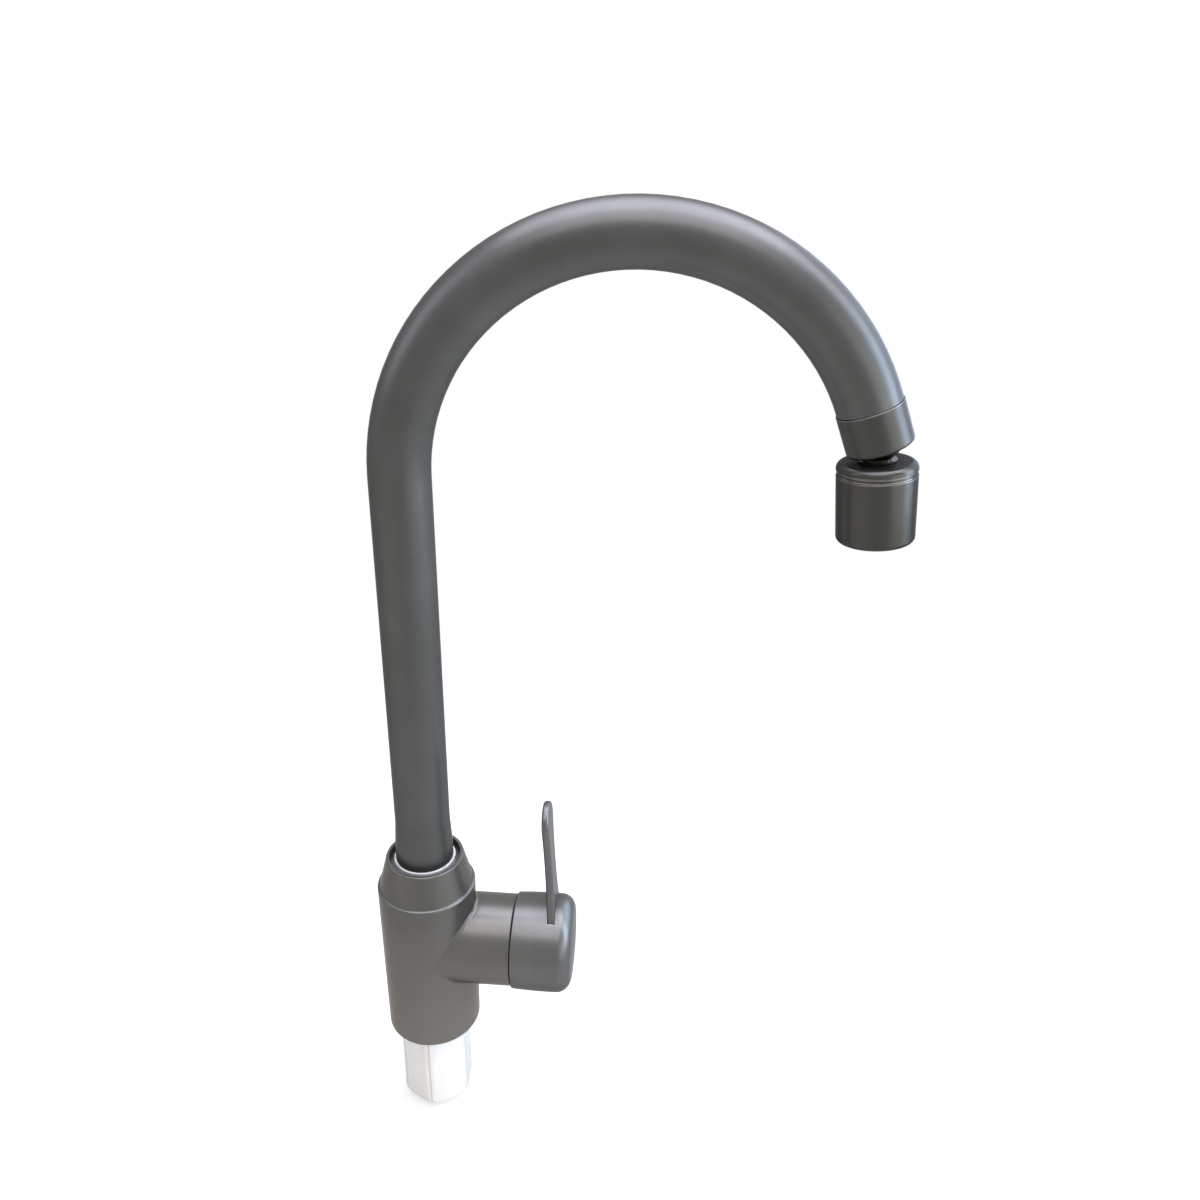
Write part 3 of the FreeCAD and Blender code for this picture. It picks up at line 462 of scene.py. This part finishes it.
@dataclass(frozen=True)
class NitrileRubber(Finish):
    """Nitrile rubber, compression moulded: matt, with a greyish bloom in soft patches."""

    name: str
    colour: str
    bloom_colour: str
    bloom_mm: float = 3.0
    skin_mm: float = 0.35
    skin_depth_mm: float = 0.02
    roughness: float = 0.72
    ior: float = 1.52

    def shade(self, tree: Tree) -> bpy.types.Node:
        """Builds the rubber.

        Args:
            tree: The material's node tree.

        Returns:
            The rubber's shader.
        """
        place = add_node(tree, "ShaderNodeTexCoord").outputs["Object"]
        bloom = add_node(
            tree, "ShaderNodeTexNoise", {"Scale": per_mm(self.bloom_mm), "Detail": 5.0},
            {"Vector": place})
        tone = add_node(
            tree, "ShaderNodeValToRGB", links={"Fac": bloom.outputs["Fac"]},
            stops=((0.45, linear(self.colour)), (0.80, linear(self.bloom_colour))))
        # The mould's matt skin is finer than this. It is drawn coarser, so that it shows.
        skin = add_node(
            tree, "ShaderNodeTexNoise", {"Scale": per_mm(self.skin_mm), "Detail": 2.0},
            {"Vector": place})
        relief = add_node(
            tree, "ShaderNodeBump", {"Strength": 0.5, "Distance": self.skin_depth_mm * MM},
            {"Height": skin.outputs["Fac"]})
        return add_node(
            tree, "ShaderNodeBsdfPrincipled", {"Roughness": self.roughness, "IOR": self.ior},
            {"Base Color": tone.outputs["Color"], "Normal": relief.outputs["Normal"]})


# The head is lacquered over polished metal: darker and glossier than the tube, with hardly any
# pebble, and pale lines of painted highlight on its grooves' edges.
GRAPHITE_LACQUER = PowderCoat(
    "lacquer_graphite_satin", "#3E3D39", "#454440", "#AAA7A0", "#686868",
    metallic=0.78, roughness=0.29, pebble_mm=1.6, pebble_depth_mm=0.0006, edge_mm=0.85)

# The ferrule's lacquer is softer than the head's, and brighter where it is seen edge on. Its
# edges carry the same pale lines of painted highlight.
FERRULE_LACQUER = PowderCoat(
    "lacquer_graphite_ferrule", "#3E3D39", "#444340", "#AAA7A0", "#A0A09E",
    metallic=0.76, roughness=0.34, pebble_mm=1.6, pebble_depth_mm=0.0006, edge_mm=0.85)

# The casting's coat is drawn a shade lighter and warmer than the tube's, partly as painted light
# for the warm light that falls on the body from below.
CAST_POWDER_COAT = PowderCoat(
    "powder_coat_graphite_cast", "#504F4B", "#585752", "#82807A", "#BDB8AD", roughness=0.33,
    painted_bounce_colour="#67635D", low_mm=85.0)

# The handle's paint is drawn a lighter grey than the tube's, and a little glossier.
HANDLE_POWDER_COAT = PowderCoat(
    "powder_coat_graphite_handle", "#565653", "#5E5E5A", "#8A8A88", roughness=0.33)


class Slot(Enum):
    """The record's material slots."""

    PAINT = "graphite_paint"
    BLACK_NICKEL = "black_nickel"
    BRASS = "brass"
    STEEL = "steel"
    NYLON = "white_nylon"
    ACETAL = "white_acetal"
    GREY_PLASTIC = "grey_plastic"
    DARK_PLASTIC = "graphite_plastic"
    CERAMIC = "ceramic"
    GREY_RUBBER = "grey_rubber"
    BLACK_RUBBER = "black_rubber"


def finish_for(slot: Slot, way: Way) -> Finish:
    """Picks the finish of a slot, for a piece that was turned about a given line.

    Args:
        slot: The record's material slot.
        way: The line that the piece is turned about.

    Returns:
        The finish.
    """
    suffix = way.name.lower()
    finishes: dict[Slot, Callable[[], Finish]] = {
        Slot.PAINT: PowderCoat,
        # Dark nickel over polished brass: near black face on, with clear bright reflections.
        Slot.BLACK_NICKEL: lambda: TurnedFinish(
            f"black_nickel_polished_{suffix}", "#46413D", "#3A3532",
            metallic=1.0, roughness=0.20, way=way, ring_mm=0.5, ring_depth_mm=0.003),
        # Free-cutting brass straight off the lathe: warm yellow, with duller tarnished patches.
        Slot.BRASS: lambda: TurnedFinish(
            f"brass_turned_{suffix}", "#D9B878", "#B8945A",
            metallic=1.0, roughness=0.26, way=way),
        # Stainless wire, strip and screws: pale grey with a soft drawn sheen.
        Slot.STEEL: lambda: TurnedFinish(
            f"stainless_steel_drawn_{suffix}", "#C4C4C2", "#ABABAA",
            metallic=1.0, roughness=0.30, way=way, ring_mm=0.3, ring_depth_mm=0.004),
        Slot.NYLON: MouldedNylon,
        # Acetal turned from white rod: a waxy white with a soft broad highlight. It is drawn a
        # light grey, which partly paints in the shade of the body's recess where it sits.
        Slot.ACETAL: lambda: TurnedFinish(
            f"acetal_turned_{suffix}", "#BDBCB6", "#B2B1AA",
            metallic=0.0, roughness=0.34, way=way, ring_mm=0.4, ring_depth_mm=0.006),
        Slot.GREY_PLASTIC: lambda: MouldedPlastic("abs_moulded_grey", "#73767A", roughness=0.40),
        Slot.DARK_PLASTIC: lambda: MouldedPlastic(
            "abs_moulded_graphite", "#4E4D49", roughness=0.42),
        Slot.CERAMIC: LappedCeramic,
        Slot.GREY_RUBBER: lambda: NitrileRubber("nitrile_rubber_grey", "#6F6F6C", "#83837F"),
        Slot.BLACK_RUBBER: lambda: NitrileRubber("nitrile_rubber_black", "#1E1E1E", "#34332F"),
    }
    return finishes[slot]()


class Workshop:
    """Keeps one material of each finish, and dresses pieces with them."""

    def __init__(self) -> None:
        """Starts with no materials, and reads the node slots from the record."""
        self.materials: dict[str, bpy.types.Material] = {}
        self.slots = {
            part["node"]: Slot(part["material_slot"]) for part in frame["record"]["subparts"]}

    def dress(self, item: bpy.types.Object, finish: Finish) -> None:
        """Puts a finish on a piece. Its material is built the first time that it is asked for.

        Args:
            item: The piece.
            finish: The finish.
        """
        if finish.name not in self.materials:
            self.materials[finish.name] = finish.build()
        item.data.materials.clear()
        item.data.materials.append(self.materials[finish.name])


@dataclass
class SubAssembly:
    """A group of the tap's pieces that go together."""

    name: ClassVar[str] = ""
    nodes: ClassVar[dict[str, Way]] = {}
    special: ClassVar[dict[str, Finish]] = {}

    def shapes(self, workshop: Workshop) -> list[bpy.types.Object]:
        """Builds the pieces that are finer than their solids. A plain group has none."""
        return []

    def build(self, workshop: Workshop) -> None:
        """Builds and dresses the whole group, and reports each piece.

        Args:
            workshop: The finishes.
        """
        for item in self.shapes(workshop):
            LOG.info("%s: %s, %d faces, built", self.name, item.name, len(item.data.polygons))
        for node, way in self.nodes.items():
            item = frame["nodes"][node]
            workshop.dress(item, self.special.get(node) or finish_for(workshop.slots[node], way))
            LOG.info("%s: %s, %s", self.name, node, item.data.materials[0].name)


def new_piece(
    name: str,
    points: np.ndarray,
    faces: Sequence[Sequence[int]],
    smooth: bool,
) -> bpy.types.Object:
    """Makes a mesh piece.

    Args:
        name: The piece's name.
        points: Its points, in metres.
        faces: Its faces, as point numbers.
        smooth: Whether it is shaded smoothly.

    Returns:
        The new object.
    """
    mesh = bpy.data.meshes.new(name)
    mesh.from_pydata([tuple(point) for point in points], [], [tuple(face) for face in faces])
    mesh.update()
    for polygon in mesh.polygons:
        polygon.use_smooth = smooth
    item = bpy.data.objects.new(name, mesh)
    bpy.context.scene.collection.objects.link(item)
    return item


def grid_faces(
    rows: int,
    columns: int,
    first: int = 0,
    closed_rows: bool = False,
) -> list[tuple[int, ...]]:
    """Lists the quads of a grid of points that is closed across its columns.

    Args:
        rows: How many rows of points.
        columns: How many points in a row. The last joins the first.
        first: The number of the grid's first point.
        closed_rows: Whether the last row also joins the first.

    Returns:
        Point numbers of each quad.
    """
    faces = []
    for row in range(rows if closed_rows else rows - 1):
        here = first + row * columns
        there = first + ((row + 1) % rows) * columns
        for column in range(columns):
            after = (column + 1) % columns
            faces.append((here + column, here + after, there + after, there + column))
    return faces


@dataclass
class DeckFixing(SubAssembly):
    """The threaded shank, its long nut and the seals at the deck. Sizes in millimetres."""

    name: ClassVar[str] = "deck fixing"
    nodes: ClassVar[dict[str, Way]] = {
        "sleeve_nut": Way.RISER, "deck_gasket": Way.RISER, "inlet_washer": Way.RISER}
    low: float = -50.5
    high: float = 12.0
    radius: float = 10.475
    bore: float = 7.0
    chamfer: float = 0.6
    pitch: float = 1.814
    thread_depth: float = 1.16
    crest_flat: float = 0.16
    crest_round: float = 0.35
    relief_low: float = -46.8
    relief_high: float = -45.8
    relief_depth: float = 0.6
    steps_round: int = 96
    steps_per_pitch: int = 12
    bore_rows: int = 8
    sharp_degrees: float = 40.0

    def thread_radius(self, height: np.ndarray, turn: np.ndarray) -> np.ndarray:
        """Radius of the shank's skin: a pipe thread with rounded crests and roots.

        Args:
            height: Heights, in millimetres.
            turn: Angles about the shank, in turns.

        Returns:
            Radii, in millimetres.
        """
        phase = np.mod(height / self.pitch - turn, 1.0)
        slope = np.abs(2.0 * phase - 1.0)
        level = np.clip((slope - self.crest_flat) / (1.0 - 2.0 * self.crest_flat), 0.0, 1.0)
        rounded = level * level * (3.0 - 2.0 * level)
        level = rounded * self.crest_round + level * (1.0 - self.crest_round)
        skin = self.radius - self.thread_depth * level
        lead = np.minimum(height - self.low, self.high - height)
        skin = np.minimum(skin, self.radius - self.chamfer * 2 + np.maximum(lead, 0.0))
        relief = (height > self.relief_low) & (height < self.relief_high)
        return np.where(relief, np.minimum(skin, self.radius - self.relief_depth), skin)

    def shapes(self, workshop: Workshop) -> list[bpy.types.Object]:
        """Builds the shank with its real thread.

        Args:
            workshop: The finishes.

        Returns:
            The threaded shank.
        """
        rows = int((self.high - self.low) / self.pitch * self.steps_per_pitch) + 1
        heights = np.linspace(self.low, self.high, rows)
        turns = np.arange(self.steps_round) / self.steps_round
        height, turn = np.meshgrid(heights, turns, indexing="ij")
        radii = self.thread_radius(height, turn)
        bore_heights = np.linspace(self.high, self.low, self.bore_rows)
        bore_height, bore_turn = np.meshgrid(bore_heights, turns, indexing="ij")
        radius = np.concatenate([radii, np.full_like(bore_height, self.bore)])
        angle = 2.0 * math.pi * np.concatenate([turn, bore_turn])
        level = np.concatenate([height, bore_height])
        points = np.stack([radius * np.cos(angle), radius * np.sin(angle), level], axis=-1)
        faces = grid_faces(rows + self.bore_rows, self.steps_round, closed_rows=True)
        shank = new_piece("shank_with_thread", points.reshape(-1, 3) * MM, faces, True)
        shank.data.set_sharp_from_angle(angle=math.radians(self.sharp_degrees))
        workshop.dress(shank, finish_for(Slot.BRASS, Way.RISER))
        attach(shank, "tap")
        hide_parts("threaded_shank")
        return [shank]


@dataclass
class CastBody(SubAssembly):
    """The painted casting, and what guides and keeps the spout in it."""

    name: ClassVar[str] = "body"
    nodes: ClassVar[dict[str, Way]] = {
        "tap_body": Way.RISER, "collar_bush": Way.RISER, "slip_ring": Way.RISER,
        "retaining_screw": Way.RISER}
    special: ClassVar[dict[str, Finish]] = {"tap_body": CAST_POWDER_COAT}


@dataclass
class ValveInsert(SubAssembly):
    """The screw-in valve with its two ceramic discs."""

    name: ClassVar[str] = "valve"
    nodes: ClassVar[dict[str, Way]] = {
        "valve_body": Way.VALVE, "valve_washer": Way.VALVE, "valve_seat_seal": Way.VALVE,
        "valve_fixed_disc": Way.VALVE, "valve_moving_disc": Way.VALVE, "valve_spindle": Way.VALVE,
        "spindle_o_rings": Way.VALVE, "spindle_clip": Way.VALVE}


@dataclass
class Handle(SubAssembly):
    """The turning cap with its lever."""

    name: ClassVar[str] = "handle"
    nodes: ClassVar[dict[str, Way]] = {
        "handle_cap": Way.VALVE, "lever": Way.RISER, "lever_pin": Way.VALVE,
        "handle_screw": Way.RISER, "handle_plug": Way.RISER}
    special: ClassVar[dict[str, Finish]] = {
        "handle_cap": HANDLE_POWDER_COAT, "lever": HANDLE_POWDER_COAT}


@dataclass
class Spout(SubAssembly):
    """The gooseneck tube with its turned foot, its end bush and its ferrule.

    The end bush is brazed into the tube and painted with it, so no brass shines through the seam.
    """

    name: ClassVar[str] = "spout"
    nodes: ClassVar[dict[str, Way]] = {
        "spout_tube": Way.RISER, "spout_spigot": Way.RISER, "spout_o_rings": Way.RISER,
        "spout_end_bush": Way.FERRULE, "spout_ferrule": Way.FERRULE, "ball_seat": Way.FERRULE}
    special: ClassVar[dict[str, Finish]] = {
        "spout_ferrule": FERRULE_LACQUER, "spout_end_bush": PowderCoat()}


@dataclass
class OutletHead(SubAssembly):
    """The outlet head on its ball, with the aerator inside. Sizes in millimetres."""

    name: ClassVar[str] = "outlet head"
    nodes: ClassVar[dict[str, Way]] = {
        "ball_stem": Way.HEAD, "head_cap": Way.HEAD, "stem_washer": Way.HEAD, "stem_nut": Way.HEAD,
        "head_shell": Way.HEAD, "aerator_washer": Way.HEAD, "aerator_housing": Way.HEAD,
        "mixing_plate": Way.HEAD, "screen_spacers": Way.HEAD, "aerator_grille": Way.HEAD}
    special: ClassVar[dict[str, Finish]] = {
        "head_cap": GRAPHITE_LACQUER, "head_shell": GRAPHITE_LACQUER}
    ball_centre: tuple[float, float, float] = (182.874, 0.0, 305.55)
    screen_drops: tuple[float, ...] = (34.85, 33.45, 32.05)
    screen_radius: float = 12.05
    rim_width: float = 0.7
    rim_half: float = 0.24
    rim_sides: int = 72
    wire_pitch: float = 0.9
    wire_radius: float = 0.11
    wire_sides: int = 5

    def wire(
        self, offset: float, crossing: bool, start: int
    ) -> tuple[np.ndarray, list[tuple[int, ...]]]:
        """Builds one woven wire in the screen's own plane.

        Args:
            offset: Distance of the wire from the screen's middle.
            crossing: Whether the wire runs across the others.
            start: The number of the wire's first point.

        Returns:
            The wire's points, in millimetres, and its faces.
        """
        half = math.sqrt(max((self.screen_radius - self.rim_width / 2) ** 2 - offset ** 2, 0.0))
        count = max(int(2 * half / (self.wire_pitch / 2)), 2)
        run = np.linspace(-half, half, count)
        over = 1.0 if (round(offset / self.wire_pitch) % 2 == 0) != crossing else -1.0
        wave = over * self.wire_radius * np.cos(math.pi * run / self.wire_pitch)
        angles = 2.0 * math.pi * np.arange(self.wire_sides) / self.wire_sides
        side = offset + self.wire_radius * np.cos(angles)[None, :]
        lift = wave[:, None] + self.wire_radius * np.sin(angles)[None, :]
        side, length, lift = np.broadcast_arrays(side, run[:, None], lift)
        first, second = (side, length) if crossing else (length, side)
        points = np.stack([first, second, lift], axis=-1).reshape(-1, 3)
        faces = grid_faces(count, self.wire_sides, start)
        last = start + (count - 1) * self.wire_sides
        faces.append(tuple(start + k for k in range(self.wire_sides)))
        faces.append(tuple(last + k for k in reversed(range(self.wire_sides))))
        return points, faces

    def screen(self, drop: float, start: int) -> tuple[np.ndarray, list[tuple[int, ...]]]:
        """Builds one round screen of woven wire with its pressed rim.

        Args:
            drop: Distance of the screen from the ball's centre along the head.
            start: The number of the screen's first point.

        Returns:
            The screen's points, in millimetres, and its faces.
        """
        blocks: list[np.ndarray] = []
        faces: list[tuple[int, ...]] = []
        reach = int((self.screen_radius - self.rim_width) / self.wire_pitch)
        for crossing in (False, True):
            for step in range(-reach, reach + 1):
                points, more = self.wire(
                    step * self.wire_pitch, crossing, start + sum(map(len, blocks)))
                blocks.append(points)
                faces.extend(more)
        angles = 2.0 * math.pi * np.arange(self.rim_sides) / self.rim_sides
        inner = self.screen_radius - self.rim_width
        section = [(inner, -self.rim_half), (inner, self.rim_half),
                   (self.screen_radius, self.rim_half), (self.screen_radius, -self.rim_half)]
        rim = [[(r * math.cos(a), r * math.sin(a), z) for a in angles] for r, z in section]
        first = start + sum(map(len, blocks))
        faces.extend(grid_faces(len(section), self.rim_sides, first, closed_rows=True))
        blocks.append(np.array(rim).reshape(-1, 3))
        points = np.concatenate(blocks)
        points[:, 2] += drop
        return points, faces

    def shapes(self, workshop: Workshop) -> list[bpy.types.Object]:
        """Builds the three woven screens.

        Args:
            workshop: The finishes.

        Returns:
            One piece that holds the three screens.
        """
        blocks: list[np.ndarray] = []
        faces: list[tuple[int, ...]] = []
        for drop in self.screen_drops:
            points, more = self.screen(drop, sum(map(len, blocks)))
            blocks.append(points)
            faces.extend(more)
        down = Vector(Way.HEAD.value)
        side = Vector((0.0, 1.0, 0.0))
        turn = Matrix((side.cross(down), side, down)).transposed()
        local = np.concatenate(blocks) @ np.array(turn).T
        screens = new_piece("woven_screens", (local + np.array(self.ball_centre)) * MM, faces, True)
        workshop.dress(screens, finish_for(Slot.STEEL, Way.HEAD))
        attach(screens, "head")
        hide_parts("aerator_screens")
        return [screens]


@dataclass(frozen=True)
class Lamp:
    """One soft box: where it is, what it faces, its size in metres, its power and its colour."""

    name: str
    place: tuple[float, float, float]
    target: tuple[float, float, float]
    size: tuple[float, float]
    watts: float
    colour: str

    def build(self) -> None:
        """Adds the lamp to the scene."""
        data = bpy.data.lights.new(self.name, "AREA")
        data.shape = "RECTANGLE"
        data.size, data.size_y = self.size
        data.energy = self.watts
        data.color = linear(self.colour)[:3]
        item = bpy.data.objects.new(self.name, data)
        item.location = self.place
        aim = Vector(self.target) - Vector(self.place)
        item.rotation_euler = aim.to_track_quat("-Z", "Y").to_euler()
        bpy.context.scene.collection.objects.link(item)


@dataclass(frozen=True)
class PaintedBoard(Finish):
    """The studio floor, board painted matt white.

    It shows the tap's soft shadow, and fades to plain white away from the tap.
    """

    name: str = "painted_board_white"
    colour: str = "#F3EFE7"
    shadow_share: float = 0.40
    near_m: float = 0.15
    far_m: float = 0.75

    def shade(self, tree: Tree) -> bpy.types.Node:
        """Builds the floor's finish.

        Args:
            tree: The material's node tree.

        Returns:
            The floor's shader.
        """
        matt = add_node(tree, "ShaderNodeBsdfDiffuse", {"Color": linear(self.colour)})
        white = add_node(tree, "ShaderNodeEmission", {"Color": linear("#FFFFFF"), "Strength": 1.0})
        place = add_node(tree, "ShaderNodeTexCoord").outputs["Object"]
        away = add_node(tree, "ShaderNodeVectorMath", {"operation": "LENGTH"}, {0: place})
        share = add_node(
            tree, "ShaderNodeMapRange",
            {"interpolation_type": "SMOOTHSTEP", "From Min": self.near_m, "From Max": self.far_m,
             "To Min": 1.0 - self.shadow_share, "To Max": 1.0}, {"Value": away.outputs["Value"]})
        seen = add_node(
            tree, "ShaderNodeMath", {"operation": "MULTIPLY"},
            {0: share.outputs["Result"], 1: background_rays(tree)})
        return add_node(
            tree, "ShaderNodeMixShader",
            links={0: seen.outputs["Value"], 1: matt.outputs[0], 2: white.outputs[0]})


def background_rays(tree: Tree) -> Socket:
    """Says which rays see the plain white background: the camera's, and those of gloss and glass.

    Args:
        tree: The node tree.

    Returns:
        1 for such a ray, otherwise 0.
    """
    path = add_node(tree, "ShaderNodeLightPath")
    total = path.outputs["Is Camera Ray"]
    for other in ("Is Glossy Ray", "Is Transmission Ray"):
        either = add_node(
            tree, "ShaderNodeMath", {"operation": "MAXIMUM"}, {0: total, 1: path.outputs[other]})
        total = either.outputs[0]
    return total


@dataclass
class Studio:
    """The floor, the lamps, the world and the camera."""

    floor_level: float = -50.8 * MM
    floor_half: float = 6.0
    soft_light: float = 0.10
    camera_place: tuple[float, float, float] = (0.101919, -0.364286, 0.396940)
    camera_right: tuple[float, float, float] = (0.997470, 0.068541, 0.018893)
    camera_down: tuple[float, float, float] = (0.045186, -0.405985, -0.912762)
    camera_forward: tuple[float, float, float] = (-0.054892, 0.911306, -0.408054)
    lens_mm: float = 29.278
    sensor_mm: float = 36.0
    near_m: float = 0.01
    # Each lamp's name, place, what it faces, size, watts and colour. The long highlights of the
    # tube, the neck and the cap come from the ceiling and window boxes, and the low card adds a
    # faint warm light under the body.
    lamps: tuple[Lamp, ...] = (
        Lamp("ceiling_box", (0.08, 0.03, 1.0), (0.08, 0.03, 0.0), (1.0, 0.5), 14.2, "#E8E9FF"),
        Lamp("front_box", (0.08, -0.583, 1.133), (0.08, 0.0, 0.2), (1.0, 0.5), 7.4, "#F3F4FF"),
        Lamp("window_right", (1.058, 0.0, 0.408), (0.08, 0.0, 0.2), (0.45, 0.7), 12.0, "#C6DCFF"),
        Lamp("window_side", (0.93, -0.49, 0.30), (0.08, 0.0, 0.2), (0.9, 0.6), 4.4, "#EEEEF2"),
        Lamp("window_back", (0.70, 0.62, 0.48), (0.16, 0.0, 0.33), (0.7, 0.75), 8.6, "#C8DCFF"),
        Lamp("ceiling_back", (0.15, 0.37, 0.96), (0.12, 0.15, 0.3), (1.0, 0.3), 5.4, "#E8E9FF"),
        Lamp("window_high", (0.858, 0.0, 0.978), (0.08, 0.0, 0.2), (0.5, 0.6), 6.0, "#E9ECFF"),
        Lamp("window_left", (-0.80, -0.15, 0.70), (0.05, 0.0, 0.3), (0.5, 0.6), 2.4, "#E0E6FF"),
        Lamp("low_card", (-0.28, -0.32, 0.06), (0.0, 0.0, -0.02), (0.5, 0.2), 0.15, "#FFF3E0"),
    )

    def camera(self) -> None:
        """Puts the camera where the photograph was taken from."""
        data = bpy.data.cameras.new("view")
        data.lens = self.lens_mm
        data.sensor_width = self.sensor_mm
        data.clip_start = self.near_m
        item = bpy.data.objects.new("view", data)
        rows = (Vector(self.camera_right), -Vector(self.camera_down), -Vector(self.camera_forward))
        turn = Matrix(rows).transposed().to_4x4()
        item.matrix_world = Matrix.Translation(self.camera_place) @ turn
        bpy.context.scene.collection.objects.link(item)
        bpy.context.scene.camera = item

    def world(self) -> None:
        """Gives an even studio light, and plain white to the rays that see the background."""
        world = bpy.data.worlds.new("studio")
        bpy.context.scene.world = world
        world.use_nodes = True
        tree = world.node_tree
        tree.nodes.clear()
        soft = add_node(
            tree, "ShaderNodeBackground", {"Color": linear("#FFFFFF"), "Strength": self.soft_light})
        white = add_node(
            tree, "ShaderNodeBackground", {"Color": linear("#FFFFFF"), "Strength": 1.0})
        mix = add_node(
            tree, "ShaderNodeMixShader",
            links={0: background_rays(tree), 1: soft.outputs[0], 2: white.outputs[0]})
        add_node(tree, "ShaderNodeOutputWorld", links={"Surface": mix.outputs[0]})

    def floor(self) -> None:
        """Lays a wide pale floor under the tap."""
        half = self.floor_half
        level = self.floor_level
        corners = np.array([
            (-half, -half, level), (half, -half, level), (half, half, level), (-half, half, level)])
        item = new_piece("floor", corners, [(0, 1, 2, 3)], False)
        item.data.materials.append(PaintedBoard().build())

    def build(self) -> None:
        """Sets up the whole studio."""
        bpy.context.scene.view_settings.view_transform = "Standard"
        self.camera()
        self.world()
        self.floor()
        for lamp in self.lamps:
            lamp.build()
            LOG.info("studio: %s, %.2f W", lamp.name, lamp.watts)


def main() -> None:
    """Builds the studio and the tap."""
    logging.basicConfig(level=logging.INFO, format="%(message)s")
    Studio().build()
    workshop = Workshop()
    for group in (DeckFixing(), CastBody(), ValveInsert(), Handle(), Spout(), OutletHead()):
        group.build(workshop)


if __name__ == "__main__":
    main()
